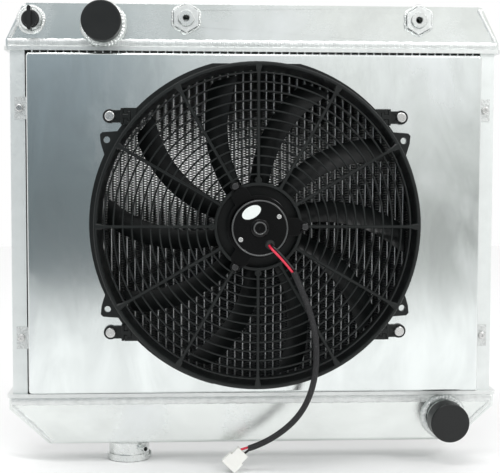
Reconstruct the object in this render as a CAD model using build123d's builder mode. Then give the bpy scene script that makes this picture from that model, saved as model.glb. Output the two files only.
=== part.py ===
from build123d import *
import math
import os

# Aluminium car radiator: a two-row tube and fin core between two welded tanks, with an
# electric fan on a sheet shroud in front of it. Millimetres, +Z up. The fan side faces
# -Y. The origin is the middle of the cooler tank's flat outer face, which a car's saddle
# holds. A "depth" is a distance in front of the core's middle plane, towards -Y.

# ---- Core ----
CORE_W = 597.0  # between the side channels
CORE_H = 449.0  # between the headers
TUBE_COUNT = 58
TUBE_T = 2.1
TUBE_D = 25.4
TUBE_WALL = 0.4
ROW_GAP = 5.2
TUBE_PROUD = 3.0  # how far the tubes stand out of the headers, inside the tanks
FIN_T = 0.35
FIN_FOLDS = 20

# ---- Headers and tanks ----
HEADER_T = 5.0
HEADER_LEDGE = 2.0  # past the tanks, front and rear
HEADER_LIP = 7.5  # past the side channels, at each end
HEADER_CORNER_R = 6.0
TANK_WALL = 3.0
TANK_D = 66.0
TANK_BEND = 4.5  # outer radius of the folded shell's two long edges
TANK_SETBACK = 3.0  # the tanks' ends inside the headers' ends
END_PLATE = 3.6
COOLER_TANK_H = 55.5
COOLER_TANK_KNEE = 8.0
COOLER_TANK_TAPER = 23.0
FILLER_TANK_H = 62.0
FILLER_TANK_KNEE = 15.0
FILLER_TANK_CHAMFER = 52.0

# ---- Side channels ----
CHANNEL_W = 19.0
CHANNEL_D = 60.0
CHANNEL_T = 2.0

# ---- Hose stubs and their shipping caps ----
STUB_R = 22.25
STUB_WALL = 2.0
STUB_BEAD = 0.8
STUB_BEAD_W = 2.0
STUB_BEAD_SLOPE = 1.5
STUB_LIP = 3.0  # past the bead
STUB_END = 76.5  # depth of the stubs' mouths
OUTLET_X = -196.8
OUTLET_DROP = 26.8  # below the cooler tank's outer face
INLET_X = 254.0
INLET_RISE = 32.7  # above the filler tank's outer face
CAP_GAP = 0.4  # between a stub's bead and its cap
CAP_WALL = 2.0
CAP_L = 26.0
CAP_END_GAP = 1.0
CAP_EDGE_R = 1.8

# ---- Drain ----
DRAIN_X = -289.4
DRAIN_DROP = 21.7
DRAIN_BUNG_R = 14.0
DRAIN_BUNG_L = 8.0
DRAIN_BUNG_EDGE = 2.0
DRAIN_PLUG_R = 8.0
DRAIN_HEAD_R = 10.2
DRAIN_HEAD_H = 8.0
DRAIN_PLUG_TIP = 2.0  # past the tank wall
DRAIN_BAR_L = 31.0
DRAIN_BAR_W = 5.0
DRAIN_BAR_RISE = 6.0  # above the head
THREAD_PLAY = 0.08
SEAL_GAP = 0.3
SEAL_T = 1.2
SEAL_R = 11.5

# ---- Oil cooler ----
PORT_MID_X = 62.6
PORT_SPACING = 304.8
PORT_DROP = 18.4
PORT_R = 10.2
PORT_BORE_R = 4.1
PORT_END = 41.5
PORT_NUT_AF = 32.0
PORT_NUT_T = 5.0
PORT_EDGE = 1.0
COOLER_R = 12.0
COOLER_DEPTH = 12.0
COOLER_WALL = 1.5
COOLER_END = 22.0  # past each port

# ---- Filler neck ----
NECK_X = -166.8
NECK_R = 27.0
NECK_WALL = 6.0
NECK_H = 26.5
NECK_FLANGE_R = 29.5
NECK_FLANGE_T = 1.8
NECK_SKIRT_H = 8.7
NECK_CAM_DEPTH = 4.0
NECK_CAM_W = 22.0
NECK_CAM_TURN = -20.0  # degrees from +X
NECK_EDGE = 1.0
OVERFLOW_R = 4.0
OVERFLOW_WALL = 1.0
OVERFLOW_REACH = 40.0  # from the neck's axis
OVERFLOW_ROOT_R = 4.9
OVERFLOW_ROOT_END = 30.5  # from the neck's axis
OVERFLOW_TURN = -55.0  # degrees from +X, towards the fan side
OVERFLOW_DROP = 8.0

# ---- Shroud ----
SHROUD_SIDE_INSET = 5.5  # inside the core's sides
SHROUD_END_INSET = 5.5  # inside the headers
SHROUD_DEPTH = 62.0
SHEET = 1.5
SHROUD_CORNER_R = 4.5
SHROUD_BEND_R = 2.5
SHROUD_OPENING_GAP = 1.0  # outside the throat
TAB_W = 13.0
TAB_L = 29.0
TAB_SPACING = 300.0
BOLT_R = 3.0
BOLT_PLAY = 0.3
BOLT_INSET = 2.5  # from the side channels' middle, towards the core
BOLT_NUT_AF = 9.0
BOLT_HEAD_R = 4.9
BOLT_HEAD_H = 3.2
BOLT_HEAD_EDGE = 1.6
BOLT_SOCKET_R = 1.9
BOLT_SOCKET_DEPTH = 1.8
BOLT_TIP = 2.0  # past the nuts

# ---- Fan moulding ----
FLANGE_W = 16.0  # outside the throat
FLANGE_FLAT_W = 8.5  # the same, at the top and bottom flats
FLANGE_T = 4.0
THROAT_R = 198.0
BARREL_WALL = 4.0
BARREL_LIP = 5.0  # straight part under the rim
RIM_W = 5.5
BARREL_FLARE = 2.5
RIM_DEPTH = 108.0
GUARD_T = 4.0
GUARD_RINGS = 12
GUARD_OUTER_GAP = 8.5  # from the rim's bore to the outermost ring's middle
GUARD_INNER_GAP = 10.2  # from the collar to the innermost ring's middle
GUARD_RING_W = 2.3
GUARD_SEAT = 0.8  # the guard's edge inside the rim's edge
SPOKES = 12
SPOKE_W = 4.2
SPOKE_RIB = 4.0
SPOKE_RIB_W = 3.0
COLLAR_R = 55.5
COLLAR_WALL = 4.5
COLLAR_L = 12.0
BOSS_REACH = 2.7  # of the bosses' middles past the collar
EYELET_BOSS_R = 4.6
ARM_BOSS_R = 6.0
EYELET_R = 1.7
EAR_REACH = 5.77  # of the ears' holes past the flange
EAR_TURN = 29.65  # degrees from the horizontal
EAR_HOLE_R = 4.2
EAR_R = 8.7
EAR_TOP = 9.5  # above its hole
EAR_INNER = 19.5  # how far the ear reaches past its hole, towards the flange
LUG_W = 21.0
LUG_T = 9.0

# ---- Clip feet that hold the fan on the shroud ----
FOOT_X = 187.0
FOOT_Z = 138.6
FOOT_R = 9.0
FOOT_T = 5.0
FOOT_BAR = 3.5  # bar across the foot's inner end
FOOT_REACH = 17.5  # from the screw to the bar's inner face
TONGUE_W = 6.0
TONGUE_HEAD_W = 13.0
TONGUE_L = 9.0
TONGUE_HEAD_L = 4.0
TONGUE_GAP = 0.3
FOOT_SCREW_R = 2.9
FOOT_SCREW_HEAD_R = 6.4
FOOT_SCREW_HEAD_H = 3.4
FOOT_SCREW_EDGE = 1.4
FOOT_SCREW_PLAY = 0.2
FOOT_SCREW_TIP = 2.0  # past the nuts
FOOT_NUT_AF = 10.0
NUT_T = 4.5

# ---- Motor ----
CAN_R = 34.2
CAN_WALL = 1.8
CAN_PROUD = 18.0  # in front of the guard
CAN_L = 46.0
CAN_EDGE = 2.5
CAN_BOSS_H = 5.0
CAN_BOSS_LIP = 1.5
SHAFT_CLEARANCE = 0.6
CAP_H = 11.5
CAP_OVERHANG = 0.6  # past the can
CAP_PLATE = 1.8
CAP_RIM = 2.4
CAP_RIM_H = 0.7
CAP_SKIRT = 2.2
NOSE_R = 11.5
NOSE_H = 4.0
NOSE_MOUTH_R = 5.8
NOSE_MOUTH_DEPTH = 1.2
NOSE_STEP = 1.1
BEARING_R = 7.9
BEARING_L = 7.0
SHAFT_R = 4.0
SHAFT_PLAY = 0.05
SHAFT_TAIL = 6.0  # behind the hub
BRACKET_T = 2.0
BRACKET_RING_W = 5.3
ARM_W = 22.4
ARM_SHOULDER_R = 49.0  # where the arms start to taper
ARM_END_R = 5.5
ARM_SCREW_R = 2.0
ARM_SCREW_HEAD_R = 4.3
ARM_SCREW_HEAD_H = 2.8
ARM_SCREW_EDGE = 1.2
MAGNET_GAP = 0.9
MAGNET_T = 5.0
MAGNET_SPAN = 130.0
MAGNET_OVERHANG = 2.0  # past the stack, at each end
STACK_FRONT_GAP = 12.0  # behind the can's front
STACK_REAR_GAP = 9.0  # in front of the can's rear
STACK_SLOTS = 12
SLOT_L = 8.5
SLOT_W = 2.6
SLOT_MID = 4.0  # below the stack's edge
WINDING_L = 4.5
WINDING_INSET = 2.0
WINDING_BORE_GAP = 3.0
COMMUTATOR_R = 11.0
COMMUTATOR_PROUD = 1.0  # in front of the can
SEGMENT_GAP_L = 2.4
SEGMENT_GAP_W = 0.7
BRUSH_GAP = 0.3
BRUSH_W = 5.0
BRUSH_L = 9.0
BRUSH_H = 5.6
BRUSH_OFFSET = 1.4  # from the commutator's middle
HOLDER_T = 1.6
HOLDER_WALL = 1.5
HOLDER_SLEEVE_L = 17.0
HOLDER_BORE_GAP = 1.5
SPRING_L = 7.0
SPRING_WIRE = 0.5
CAP_SCREW_R = 27.4
CAP_SCREW_TURN = 31.0
CAP_SCREW_SHANK_R = 1.6
CAP_SCREW_L = 5.0
CAP_SCREW_HEAD_R = 3.0
CAP_SCREW_HEAD_H = 1.9
CAP_SCREW_EDGE = 0.8
LABEL_W = 25.0
LABEL_H = 14.7
LABEL_X = -10.4
LABEL_Z = 19.3
LABEL_TILT = 29.0
LABEL_T = 0.2
GROMMET_X = 12.6
GROMMET_Z = -20.5
GROMMET_R = 6.1
GROMMET_LIP = 1.4
GROMMET_H = 2.5

# ---- Rotor ----
HUB_R = 54.0
HUB_WALL = 3.0
HUB_OVERLAP = 13.0  # of the hub along the can
HUB_L = 26.0
HUB_MOUTH_GAP = 3.3  # round the can
HUB_BOSS_R = 9.0
HUB_BOSS_L = 2.5
HUB_EDGE = 2.0
ROTOR_NUT_AF = 13.0
ROTOR_NUT_GAP = 0.3
BLADES = 10
BLADE_TIP_GAP = 8.0  # inside the throat
BLADE_SINK = 1.5  # of the blades' roots into the hub
BLADE_T = 2.6
BLADE_STATIONS = 5
ROOT_CHORD = 30.0
TIP_CHORD = 40.0
ROOT_PITCH = 42.0  # degrees out of the fan's plane
TIP_PITCH = 27.0
TIP_TURN = 66.5  # where the first blade's tip points, degrees from +X
BLADE_SWEEP = 21.0  # how far the root leads the tip

# ---- Lead ----
WIRE_R = 1.55
WIRE_OFFSET = Vector(-1.2, -0.6, -1.1)
SLEEVE_R = 3.9
CONNECTOR_T = 11.0
CONNECTOR_REAR_W = 17.4
CONNECTOR_FRONT_W = 22.0
CONNECTOR_REAR_L = 12.0
CONNECTOR_FRONT_L = 15.0
CONNECTOR_WALL = 1.6
CONNECTOR_TURN = 225.4  # the way it points in the fan's plane, degrees from +X
CONNECTOR_REAR = Vector(-17.2, -84.0, -576.2)
TERMINAL_PITCH = 7.0
TERMINAL_L = 10.0
TERMINAL_W = 3.0
TERMINAL_T = 1.6
TAIL_OFFSET = 1.6
ARC_SHARE = 0.45  # how much of each run an arc may take at either end

# Route of the two wires from the grommet to the sleeve, and of the sleeve to the
# connector. It hangs from the motor and comes to rest beside the filler neck's level.
WIRE_ROUTE = [
    (12.6, -144.0, -305.5),
    (13.2, -152.0, -307.0),
    (18.6, -158.6, -312.5),
    (31.0, -157.2, -325.4),
    (40.8, -149.0, -337.6),
]
SLEEVE_ROUTE = [
    (40.8, -149.0, -337.6),
    (52.8, -143.0, -364.0),
    (63.5, -137.0, -391.0),
    (70.6, -131.5, -420.0),
    (72.4, -128.0, -449.0),
    (70.2, -124.5, -477.0),
    (63.8, -118.0, -502.0),
    (53.8, -110.0, -523.0),
    (39.3, -102.0, -541.0),
    (19.8, -95.0, -557.0),
    (-0.1, -89.5, -568.0),
    (-9.6, -87.0, -571.6),
]

# ---- Worked out from the sizes above ----
core_d = 2 * TUBE_D + ROW_GAP
row_pitch = TUBE_D + ROW_GAP
tube_pitch = (CORE_W + TUBE_T) / (TUBE_COUNT + 1)
fin_gap = tube_pitch - TUBE_T
fin_pitch = CORE_H / FIN_FOLDS
cooler_header_top = -COOLER_TANK_H
core_top = cooler_header_top - HEADER_T
core_bottom = core_top - CORE_H
filler_tank_top = core_bottom - HEADER_T
filler_face = filler_tank_top - FILLER_TANK_H
neck_mouth = filler_face - NECK_H
FAN_Z = (core_top + core_bottom) / 2
header_half = CORE_W / 2 + CHANNEL_W + HEADER_LIP
tank_half = header_half - TANK_SETBACK
tank_front = TANK_D / 2
channel_front = CHANNEL_D / 2
shroud_back = SHROUD_DEPTH - SHEET
bolt_x = CORE_W / 2 + CHANNEL_W / 2 - BOLT_INSET
outlet_z = -OUTLET_DROP
inlet_z = filler_face + INLET_RISE
drain_z = -DRAIN_DROP
port_z = -PORT_DROP
port_x = (PORT_MID_X - PORT_SPACING / 2, PORT_MID_X + PORT_SPACING / 2)
header_d = TANK_D + 2 * HEADER_LEDGE
shroud_w = CORE_W - 2 * SHROUD_SIDE_INSET
shroud_h = CORE_H - 2 * SHROUD_END_INSET
shroud_opening_r = THROAT_R + SHROUD_OPENING_GAP
flange_r = THROAT_R + FLANGE_W
flange_flat = THROAT_R + FLANGE_FLAT_W
rim_bore_r = THROAT_R + BARREL_FLARE
rim_r = rim_bore_r + RIM_W
ear_x = (flange_r + EAR_REACH) * math.cos(math.radians(EAR_TURN))
ear_z = (flange_r + EAR_REACH) * math.sin(math.radians(EAR_TURN))
guard_front = RIM_DEPTH + GUARD_T
outer_ring_r = rim_bore_r - GUARD_OUTER_GAP
inner_ring_r = COLLAR_R + GUARD_INNER_GAP
ring_pitch = (outer_ring_r - inner_ring_r) / (GUARD_RINGS - 1)
boss_pitch_r = COLLAR_R + BOSS_REACH
can_front = guard_front + CAN_PROUD
can_rear = can_front - CAN_L
motor_face = can_front + CAP_H
motor_cap_r = CAN_R + CAP_OVERHANG
bracket_ring_r = CAN_R + BRACKET_RING_W
stack_front = can_front - STACK_FRONT_GAP
stack_rear = can_rear + STACK_REAR_GAP
commutator_front = can_front + COMMUTATOR_PROUD
grommet_face = motor_face + GROMMET_H
hub_front = can_rear + HUB_OVERLAP
hub_rear = hub_front - HUB_L
hub_mouth_r = CAN_R + HUB_MOUTH_GAP
shaft_rear = hub_rear - SHAFT_TAIL
blade_depth = (hub_front + hub_rear) / 2
blade_tip_r = THROAT_R - BLADE_TIP_GAP
blade_root_r = HUB_R - BLADE_SINK

os.makedirs("parts", exist_ok=True)


def front(depth, x=0.0, z=0.0):
    """The plane at a depth, facing the fan side, with its own +Y up."""
    return Plane(origin=(x, -depth, z), x_dir=(1, 0, 0), z_dir=(0, -1, 0))


def fan_front(depth):
    return front(depth, 0, FAN_Z)


def front_axis(x=0.0, z=FAN_Z):
    return Axis((x, 0, z), (0, 1, 0))


def outline(plane, *points):
    """A face with straight sides."""
    with BuildSketch(plane) as shape:
        with BuildLine():
            Polyline(*points, close=True)
        make_face()
    return shape.sketch


def half_section(*points, x=0.0, z=FAN_Z):
    """Half the section of a turned piece whose axis points to the front: (radius, depth)."""
    plane = Plane(origin=(x, 0, z), x_dir=(1, 0, 0), z_dir=(0, 0, 1))
    return outline(plane, *[(radius, -depth) for radius, depth in points])


def finish(piece, name):
    piece.part.label = name
    export_step(piece.part, f"parts/{name}.step")


def tank_side(face_half, base_z, knee_z, face_z, inset=0.0):
    """A tank seen from the front, with its ends set in by inset."""
    half = tank_half - inset
    face = face_half - inset
    return outline(
        Plane.XZ,
        (-half, base_z),
        (half, base_z),
        (half, knee_z),
        (face, face_z),
        (-face, face_z),
        (-half, knee_z),
    )


def tank_section(base_z, face_z, hollow):
    """A tank's section across its length, with its two outer edges rounded."""
    tall = abs(face_z - base_z)
    middle = (face_z + base_z) / 2
    up = 1 if face_z > base_z else -1
    with BuildSketch(Plane.YZ) as section:
        with Locations((0, middle)):
            Rectangle(TANK_D, tall)
        fillet(section.vertices().sort_by(Axis.Z)[::-up][:2], TANK_BEND)
        if hollow:
            with BuildSketch(Plane.YZ, mode=Mode.SUBTRACT) as inside:
                with Locations((0, middle - up * TANK_WALL)):
                    Rectangle(TANK_D - 2 * TANK_WALL, tall)
                fillet(inside.vertices().sort_by(Axis.Z)[::-up][:2], TANK_BEND - TANK_WALL)
    return section.sketch


# ---- Headers, tubes and fins ----
for name, low in (("cooler_header", core_top), ("filler_header", filler_tank_top)):
    with BuildPart() as header:
        with BuildSketch(Plane.XY.offset(low)) as plate:
            Rectangle(2 * header_half, header_d)
            fillet(plate.vertices(), HEADER_CORNER_R)
            with GridLocations(tube_pitch, row_pitch, TUBE_COUNT, 2):
                SlotOverall(TUBE_D, TUBE_T, rotation=90, mode=Mode.SUBTRACT)
        extrude(amount=HEADER_T)
    finish(header, name)

with BuildPart() as core_tubes:
    with BuildSketch(Plane.XY.offset(filler_tank_top - TUBE_PROUD)):
        with GridLocations(tube_pitch, row_pitch, TUBE_COUNT, 2):
            SlotOverall(TUBE_D, TUBE_T, rotation=90)
            SlotOverall(
                TUBE_D - 2 * TUBE_WALL, TUBE_T - 2 * TUBE_WALL, rotation=90, mode=Mode.SUBTRACT
            )
    extrude(amount=CORE_H + 2 * (HEADER_T + TUBE_PROUD))
finish(core_tubes, "core_tubes")

fin_wave = [
    (-fin_gap / 2 + (fin_gap - FIN_T) * (k % 2), core_bottom + k * fin_pitch)
    for k in range(FIN_FOLDS + 1)
]
fin_strip = outline(Plane.XZ, *fin_wave, *[(x + FIN_T, z) for x, z in reversed(fin_wave)])
with BuildPart() as core_fins:
    with BuildSketch(Plane.XZ):
        with GridLocations(tube_pitch, 0, TUBE_COUNT + 1, 1):
            add(fin_strip)
    extrude(amount=core_d / 2, both=True)
finish(core_fins, "core_fins")

# ---- Side channels, open outwards ----
for name, side in (("side_channel_left", -1), ("side_channel_right", 1)):
    web_x = side * (CORE_W / 2 + CHANNEL_T / 2)
    middle_x = side * (CORE_W + CHANNEL_W) / 2
    with BuildPart() as channel:
        with BuildSketch(Plane.XY.offset(core_bottom)):
            with Locations((web_x, 0)):
                Rectangle(CHANNEL_T, CHANNEL_D)
            with Locations((middle_x, 0)):
                with GridLocations(0, CHANNEL_D - CHANNEL_T, 1, 2):
                    Rectangle(CHANNEL_W, CHANNEL_T)
        extrude(amount=CORE_H)
        with BuildSketch(front(channel_front, side * bolt_x, FAN_Z)):
            with GridLocations(0, TAB_SPACING, 1, 2):
                Circle(BOLT_R + BOLT_PLAY)
        extrude(amount=-CHANNEL_T, mode=Mode.SUBTRACT)
    finish(channel, name)

# ---- Cooler tank: folded shell, end plates, outlet stub, drain and oil cooler ----
cooler_face_half = tank_half - COOLER_TANK_TAPER
cooler_profile = (cooler_face_half, cooler_header_top, cooler_header_top + COOLER_TANK_KNEE, 0)

with BuildPart() as cooler_tank:
    extrude(tank_section(cooler_header_top, 0, True), amount=tank_half, both=True)
    extrude(tank_side(*cooler_profile, END_PLATE), amount=TANK_D, both=True, mode=Mode.INTERSECT)
    with BuildSketch(front(tank_front)):
        with Locations((OUTLET_X, outlet_z)):
            Circle(STUB_R)
        with Locations((DRAIN_X, drain_z)):
            Circle(DRAIN_PLUG_R + THREAD_PLAY)
        with Locations(*[(x, port_z) for x in port_x]):
            Circle(PORT_R)
    extrude(amount=-TANK_WALL, mode=Mode.SUBTRACT)
finish(cooler_tank, "cooler_tank")

with BuildPart() as cooler_tank_ends:
    extrude(tank_section(cooler_header_top, 0, False), amount=tank_half, both=True)
    plates = tank_side(*cooler_profile) - tank_side(*cooler_profile, END_PLATE)
    extrude(plates, amount=TANK_D, both=True, mode=Mode.INTERSECT)
finish(cooler_tank_ends, "cooler_tank_ends")

with BuildPart() as drain_bung:
    revolve(
        half_section(
            (DRAIN_PLUG_R + THREAD_PLAY, tank_front),
            (DRAIN_BUNG_R, tank_front),
            (DRAIN_BUNG_R, tank_front + DRAIN_BUNG_L - DRAIN_BUNG_EDGE),
            (DRAIN_BUNG_R - DRAIN_BUNG_EDGE, tank_front + DRAIN_BUNG_L),
            (DRAIN_PLUG_R + THREAD_PLAY, tank_front + DRAIN_BUNG_L),
            x=DRAIN_X,
            z=drain_z,
        ),
        axis=front_axis(DRAIN_X, drain_z),
    )
finish(drain_bung, "drain_bung")

bung_face = tank_front + DRAIN_BUNG_L
seal_front = bung_face + SEAL_GAP + SEAL_T
plug_head = seal_front + SEAL_GAP
plug_tip = tank_front - TANK_WALL - DRAIN_PLUG_TIP

with BuildPart() as drain_seal:
    revolve(
        half_section(
            (DRAIN_PLUG_R + SEAL_GAP, bung_face + SEAL_GAP),
            (SEAL_R, bung_face + SEAL_GAP),
            (SEAL_R, seal_front),
            (DRAIN_PLUG_R + SEAL_GAP, seal_front),
            x=DRAIN_X,
            z=drain_z,
        ),
        axis=front_axis(DRAIN_X, drain_z),
    )
finish(drain_seal, "drain_seal")

with BuildPart() as drain_plug:
    revolve(
        half_section(
            (0, plug_tip),
            (DRAIN_PLUG_R - 1, plug_tip),
            (DRAIN_PLUG_R, plug_tip + 1),
            (DRAIN_PLUG_R, plug_head),
            (DRAIN_HEAD_R, plug_head),
            (DRAIN_HEAD_R, plug_head + DRAIN_HEAD_H - 1),
            (DRAIN_HEAD_R - 1, plug_head + DRAIN_HEAD_H),
            (0, plug_head + DRAIN_HEAD_H),
            x=DRAIN_X,
            z=drain_z,
        ),
        axis=front_axis(DRAIN_X, drain_z),
    )
    with BuildSketch(front(plug_head, DRAIN_X, drain_z)):
        SlotOverall(DRAIN_BAR_L, DRAIN_BAR_W, rotation=90)
    extrude(amount=DRAIN_HEAD_H + DRAIN_BAR_RISE)
finish(drain_plug, "drain_plug")

port_root = COOLER_DEPTH + COOLER_R - 1.0
with BuildPart() as cooler_ports:
    for x in port_x:
        revolve(
            half_section(
                (PORT_BORE_R, port_root),
                (PORT_R, port_root),
                (PORT_R, PORT_END - PORT_EDGE),
                (PORT_R - PORT_EDGE, PORT_END),
                (PORT_BORE_R + PORT_EDGE, PORT_END),
                (PORT_BORE_R, PORT_END - PORT_EDGE),
                x=x,
                z=port_z,
            ),
            axis=front_axis(x, port_z),
        )
    with BuildSketch(Plane.YZ) as cooler_round:
        with Locations((-COOLER_DEPTH, port_z)):
            Circle(COOLER_R)
    extrude(amount=PORT_SPACING, both=True, mode=Mode.SUBTRACT)
finish(cooler_ports, "cooler_ports")

with BuildPart() as cooler_port_nuts:
    with BuildSketch(front(tank_front)):
        with Locations(*[(x, port_z) for x in port_x]):
            RegularPolygon(PORT_NUT_AF / 2, 6, major_radius=False, rotation=30)
            Circle(PORT_R, mode=Mode.SUBTRACT)
    extrude(amount=PORT_NUT_T)
finish(cooler_port_nuts, "cooler_port_nuts")

with BuildPart() as oil_cooler:
    with BuildSketch(Plane.YZ.offset(PORT_MID_X)):
        with Locations((-COOLER_DEPTH, port_z)):
            Circle(COOLER_R)
            Circle(COOLER_R - COOLER_WALL, mode=Mode.SUBTRACT)
    extrude(amount=PORT_SPACING / 2 + COOLER_END, both=True)
    with BuildSketch(front(COOLER_DEPTH)):
        with Locations(*[(x, port_z) for x in port_x]):
            Circle(PORT_BORE_R)
    extrude(amount=COOLER_R, mode=Mode.SUBTRACT)
finish(oil_cooler, "oil_cooler")

# ---- Filler tank: folded shell, end plates, inlet stub, filler neck ----
filler_face_half = tank_half - FILLER_TANK_CHAMFER
filler_profile = (filler_face_half, filler_tank_top, filler_tank_top - FILLER_TANK_KNEE, filler_face)

with BuildPart() as filler_tank:
    extrude(tank_section(filler_tank_top, filler_face, True), amount=tank_half, both=True)
    extrude(tank_side(*filler_profile, END_PLATE), amount=TANK_D, both=True, mode=Mode.INTERSECT)
    with BuildSketch(front(tank_front)):
        with Locations((INLET_X, inlet_z)):
            Circle(STUB_R)
    extrude(amount=-TANK_WALL, mode=Mode.SUBTRACT)
    with BuildSketch(Plane.XY.offset(filler_face)):
        with Locations((NECK_X, 0)):
            Circle(NECK_R)
    extrude(amount=TANK_WALL, mode=Mode.SUBTRACT)
finish(filler_tank, "filler_tank")

with BuildPart() as filler_tank_ends:
    extrude(tank_section(filler_tank_top, filler_face, False), amount=tank_half, both=True)
    plates = tank_side(*filler_profile) - tank_side(*filler_profile, END_PLATE)
    extrude(plates, amount=TANK_D, both=True, mode=Mode.INTERSECT)
finish(filler_tank_ends, "filler_tank_ends")

overflow_z = filler_face - OVERFLOW_DROP
overflow_way = Vector(1, 0, 0).rotate(Axis.Z, OVERFLOW_TURN)
overflow_plane = Plane(origin=(NECK_X, 0, overflow_z), z_dir=overflow_way)
neck_plane = Plane(origin=(NECK_X, 0, 0), x_dir=(1, 0, 0), z_dir=(0, -1, 0))

with BuildPart() as filler_neck:
    revolve(
        outline(
            neck_plane,
            (NECK_R - NECK_WALL, filler_face + TANK_WALL),
            (NECK_R, filler_face + TANK_WALL),
            (NECK_R, neck_mouth + NECK_FLANGE_T),
            (NECK_FLANGE_R - NECK_FLANGE_T, neck_mouth + NECK_FLANGE_T),
            (NECK_FLANGE_R - NECK_FLANGE_T, neck_mouth + NECK_SKIRT_H),
            (NECK_FLANGE_R, neck_mouth + NECK_SKIRT_H),
            (NECK_FLANGE_R, neck_mouth + NECK_EDGE),
            (NECK_FLANGE_R - NECK_EDGE, neck_mouth),
            (NECK_R - NECK_WALL, neck_mouth),
        ),
        axis=Axis((NECK_X, 0, 0), (0, 0, 1)),
    )
    with BuildSketch(Plane.XY.offset(neck_mouth + NECK_SKIRT_H)):
        with Locations((NECK_X, 0)):
            with PolarLocations(NECK_FLANGE_R, 2, start_angle=NECK_CAM_TURN):
                Rectangle(4 * NECK_FLANGE_T, NECK_CAM_W)
    extrude(amount=-NECK_CAM_DEPTH, mode=Mode.SUBTRACT)
    with BuildSketch(overflow_plane):
        Circle(OVERFLOW_ROOT_R)
    extrude(amount=NECK_R, mode=Mode.SUBTRACT)
finish(filler_neck, "filler_neck")

with BuildPart() as overflow_tube:
    with BuildSketch(overflow_plane):
        Circle(OVERFLOW_R)
    extrude(amount=OVERFLOW_REACH)
    with BuildSketch(overflow_plane):
        Circle(OVERFLOW_ROOT_R)
    extrude(amount=OVERFLOW_ROOT_END)
    with BuildSketch(overflow_plane):
        Circle(OVERFLOW_R - OVERFLOW_WALL)
    extrude(amount=OVERFLOW_REACH, mode=Mode.SUBTRACT)
    with BuildSketch(Plane.XY.offset(filler_face)):
        with Locations((NECK_X, 0)):
            Circle(NECK_R - NECK_WALL)
    extrude(amount=-NECK_H, mode=Mode.SUBTRACT)
finish(overflow_tube, "overflow_tube")

# ---- Hose stubs with a rolled bead, and the caps pushed over them ----
stubs = (("outlet", OUTLET_X, outlet_z), ("inlet", INLET_X, inlet_z))
cap_bore = STUB_R + STUB_BEAD + CAP_GAP
cap_front = STUB_END + CAP_END_GAP + CAP_WALL
bead_rear = STUB_END - STUB_LIP - STUB_BEAD_SLOPE - STUB_BEAD_W
for name, x, z in stubs:
    with BuildPart() as stub:
        revolve(
            half_section(
                (STUB_R - STUB_WALL, tank_front - TANK_WALL),
                (STUB_R, tank_front - TANK_WALL),
                (STUB_R, bead_rear - STUB_BEAD_SLOPE),
                (STUB_R + STUB_BEAD, bead_rear),
                (STUB_R + STUB_BEAD, bead_rear + STUB_BEAD_W),
                (STUB_R, STUB_END - STUB_LIP),
                (STUB_R, STUB_END),
                (STUB_R - STUB_WALL, STUB_END),
                x=x,
                z=z,
            ),
            axis=front_axis(x, z),
        )
    finish(stub, f"{name}_stub")
    with BuildPart() as cap:
        revolve(
            half_section(
                (0, cap_front - CAP_WALL),
                (cap_bore, cap_front - CAP_WALL),
                (cap_bore, cap_front - CAP_L),
                (cap_bore + CAP_WALL, cap_front - CAP_L),
                (cap_bore + CAP_WALL, cap_front),
                (0, cap_front),
                x=x,
                z=z,
            ),
            axis=front_axis(x, z),
        )
        fillet(cap.edges().filter_by(GeomType.CIRCLE).sort_by(Axis.Y)[0], CAP_EDGE_R)
    finish(cap, f"{name}_cap")

# ---- Shroud: a folded sheet pan with a round opening and four bolted tabs ----
foot_corners = [
    Location((side * FOOT_X, up * FOOT_Z, 0), (0, 0, 90 - 90 * side))
    for side in (-1, 1)
    for up in (-1, 1)
]

with BuildPart() as shroud:
    with BuildSketch(fan_front(channel_front)) as pan:
        Rectangle(shroud_w, shroud_h)
        fillet(pan.vertices(), SHROUD_CORNER_R)
    extrude(amount=SHROUD_DEPTH - channel_front)
    fillet(shroud.faces().sort_by(Axis.Y)[0].edges(), SHROUD_BEND_R)
    with BuildSketch(fan_front(channel_front)) as inside:
        Rectangle(shroud_w - 2 * SHEET, shroud_h - 2 * SHEET)
        fillet(inside.vertices(), SHROUD_CORNER_R - SHEET)
    extrude(amount=shroud_back - channel_front, mode=Mode.SUBTRACT)
    with BuildSketch(fan_front(shroud_back)):
        Circle(shroud_opening_r)
        with Locations(*foot_corners):
            Circle(FOOT_SCREW_R + FOOT_SCREW_PLAY)
    extrude(amount=SHEET, mode=Mode.SUBTRACT)
    tab_inner = shroud_w / 2 - SHEET
    tab_outer = bolt_x + TAB_W / 2
    with BuildSketch(fan_front(channel_front)):
        with GridLocations(tab_inner + tab_outer, TAB_SPACING, 2, 2):
            Rectangle(tab_outer - tab_inner, TAB_L)
        with GridLocations(2 * bolt_x, TAB_SPACING, 2, 2):
            Circle(BOLT_R + BOLT_PLAY, mode=Mode.SUBTRACT)
    extrude(amount=SHEET)
finish(shroud, "shroud")

with BuildPart() as shroud_bolts:
    with BuildSketch(fan_front(channel_front + SHEET)):
        with GridLocations(2 * bolt_x, TAB_SPACING, 2, 2):
            Circle(BOLT_HEAD_R)
    extrude(amount=BOLT_HEAD_H)
    fillet(shroud_bolts.edges().filter_by(GeomType.CIRCLE).group_by(Axis.Y)[0], BOLT_HEAD_EDGE)
    with BuildSketch(fan_front(channel_front + SHEET + BOLT_HEAD_H)):
        with GridLocations(2 * bolt_x, TAB_SPACING, 2, 2):
            RegularPolygon(BOLT_SOCKET_R, 6)
    extrude(amount=-BOLT_SOCKET_DEPTH, mode=Mode.SUBTRACT)
    with BuildSketch(fan_front(channel_front + SHEET)):
        with GridLocations(2 * bolt_x, TAB_SPACING, 2, 2):
            Circle(BOLT_R)
    extrude(amount=-(SHEET + CHANNEL_T + NUT_T + BOLT_TIP))
finish(shroud_bolts, "shroud_bolts")

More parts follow.
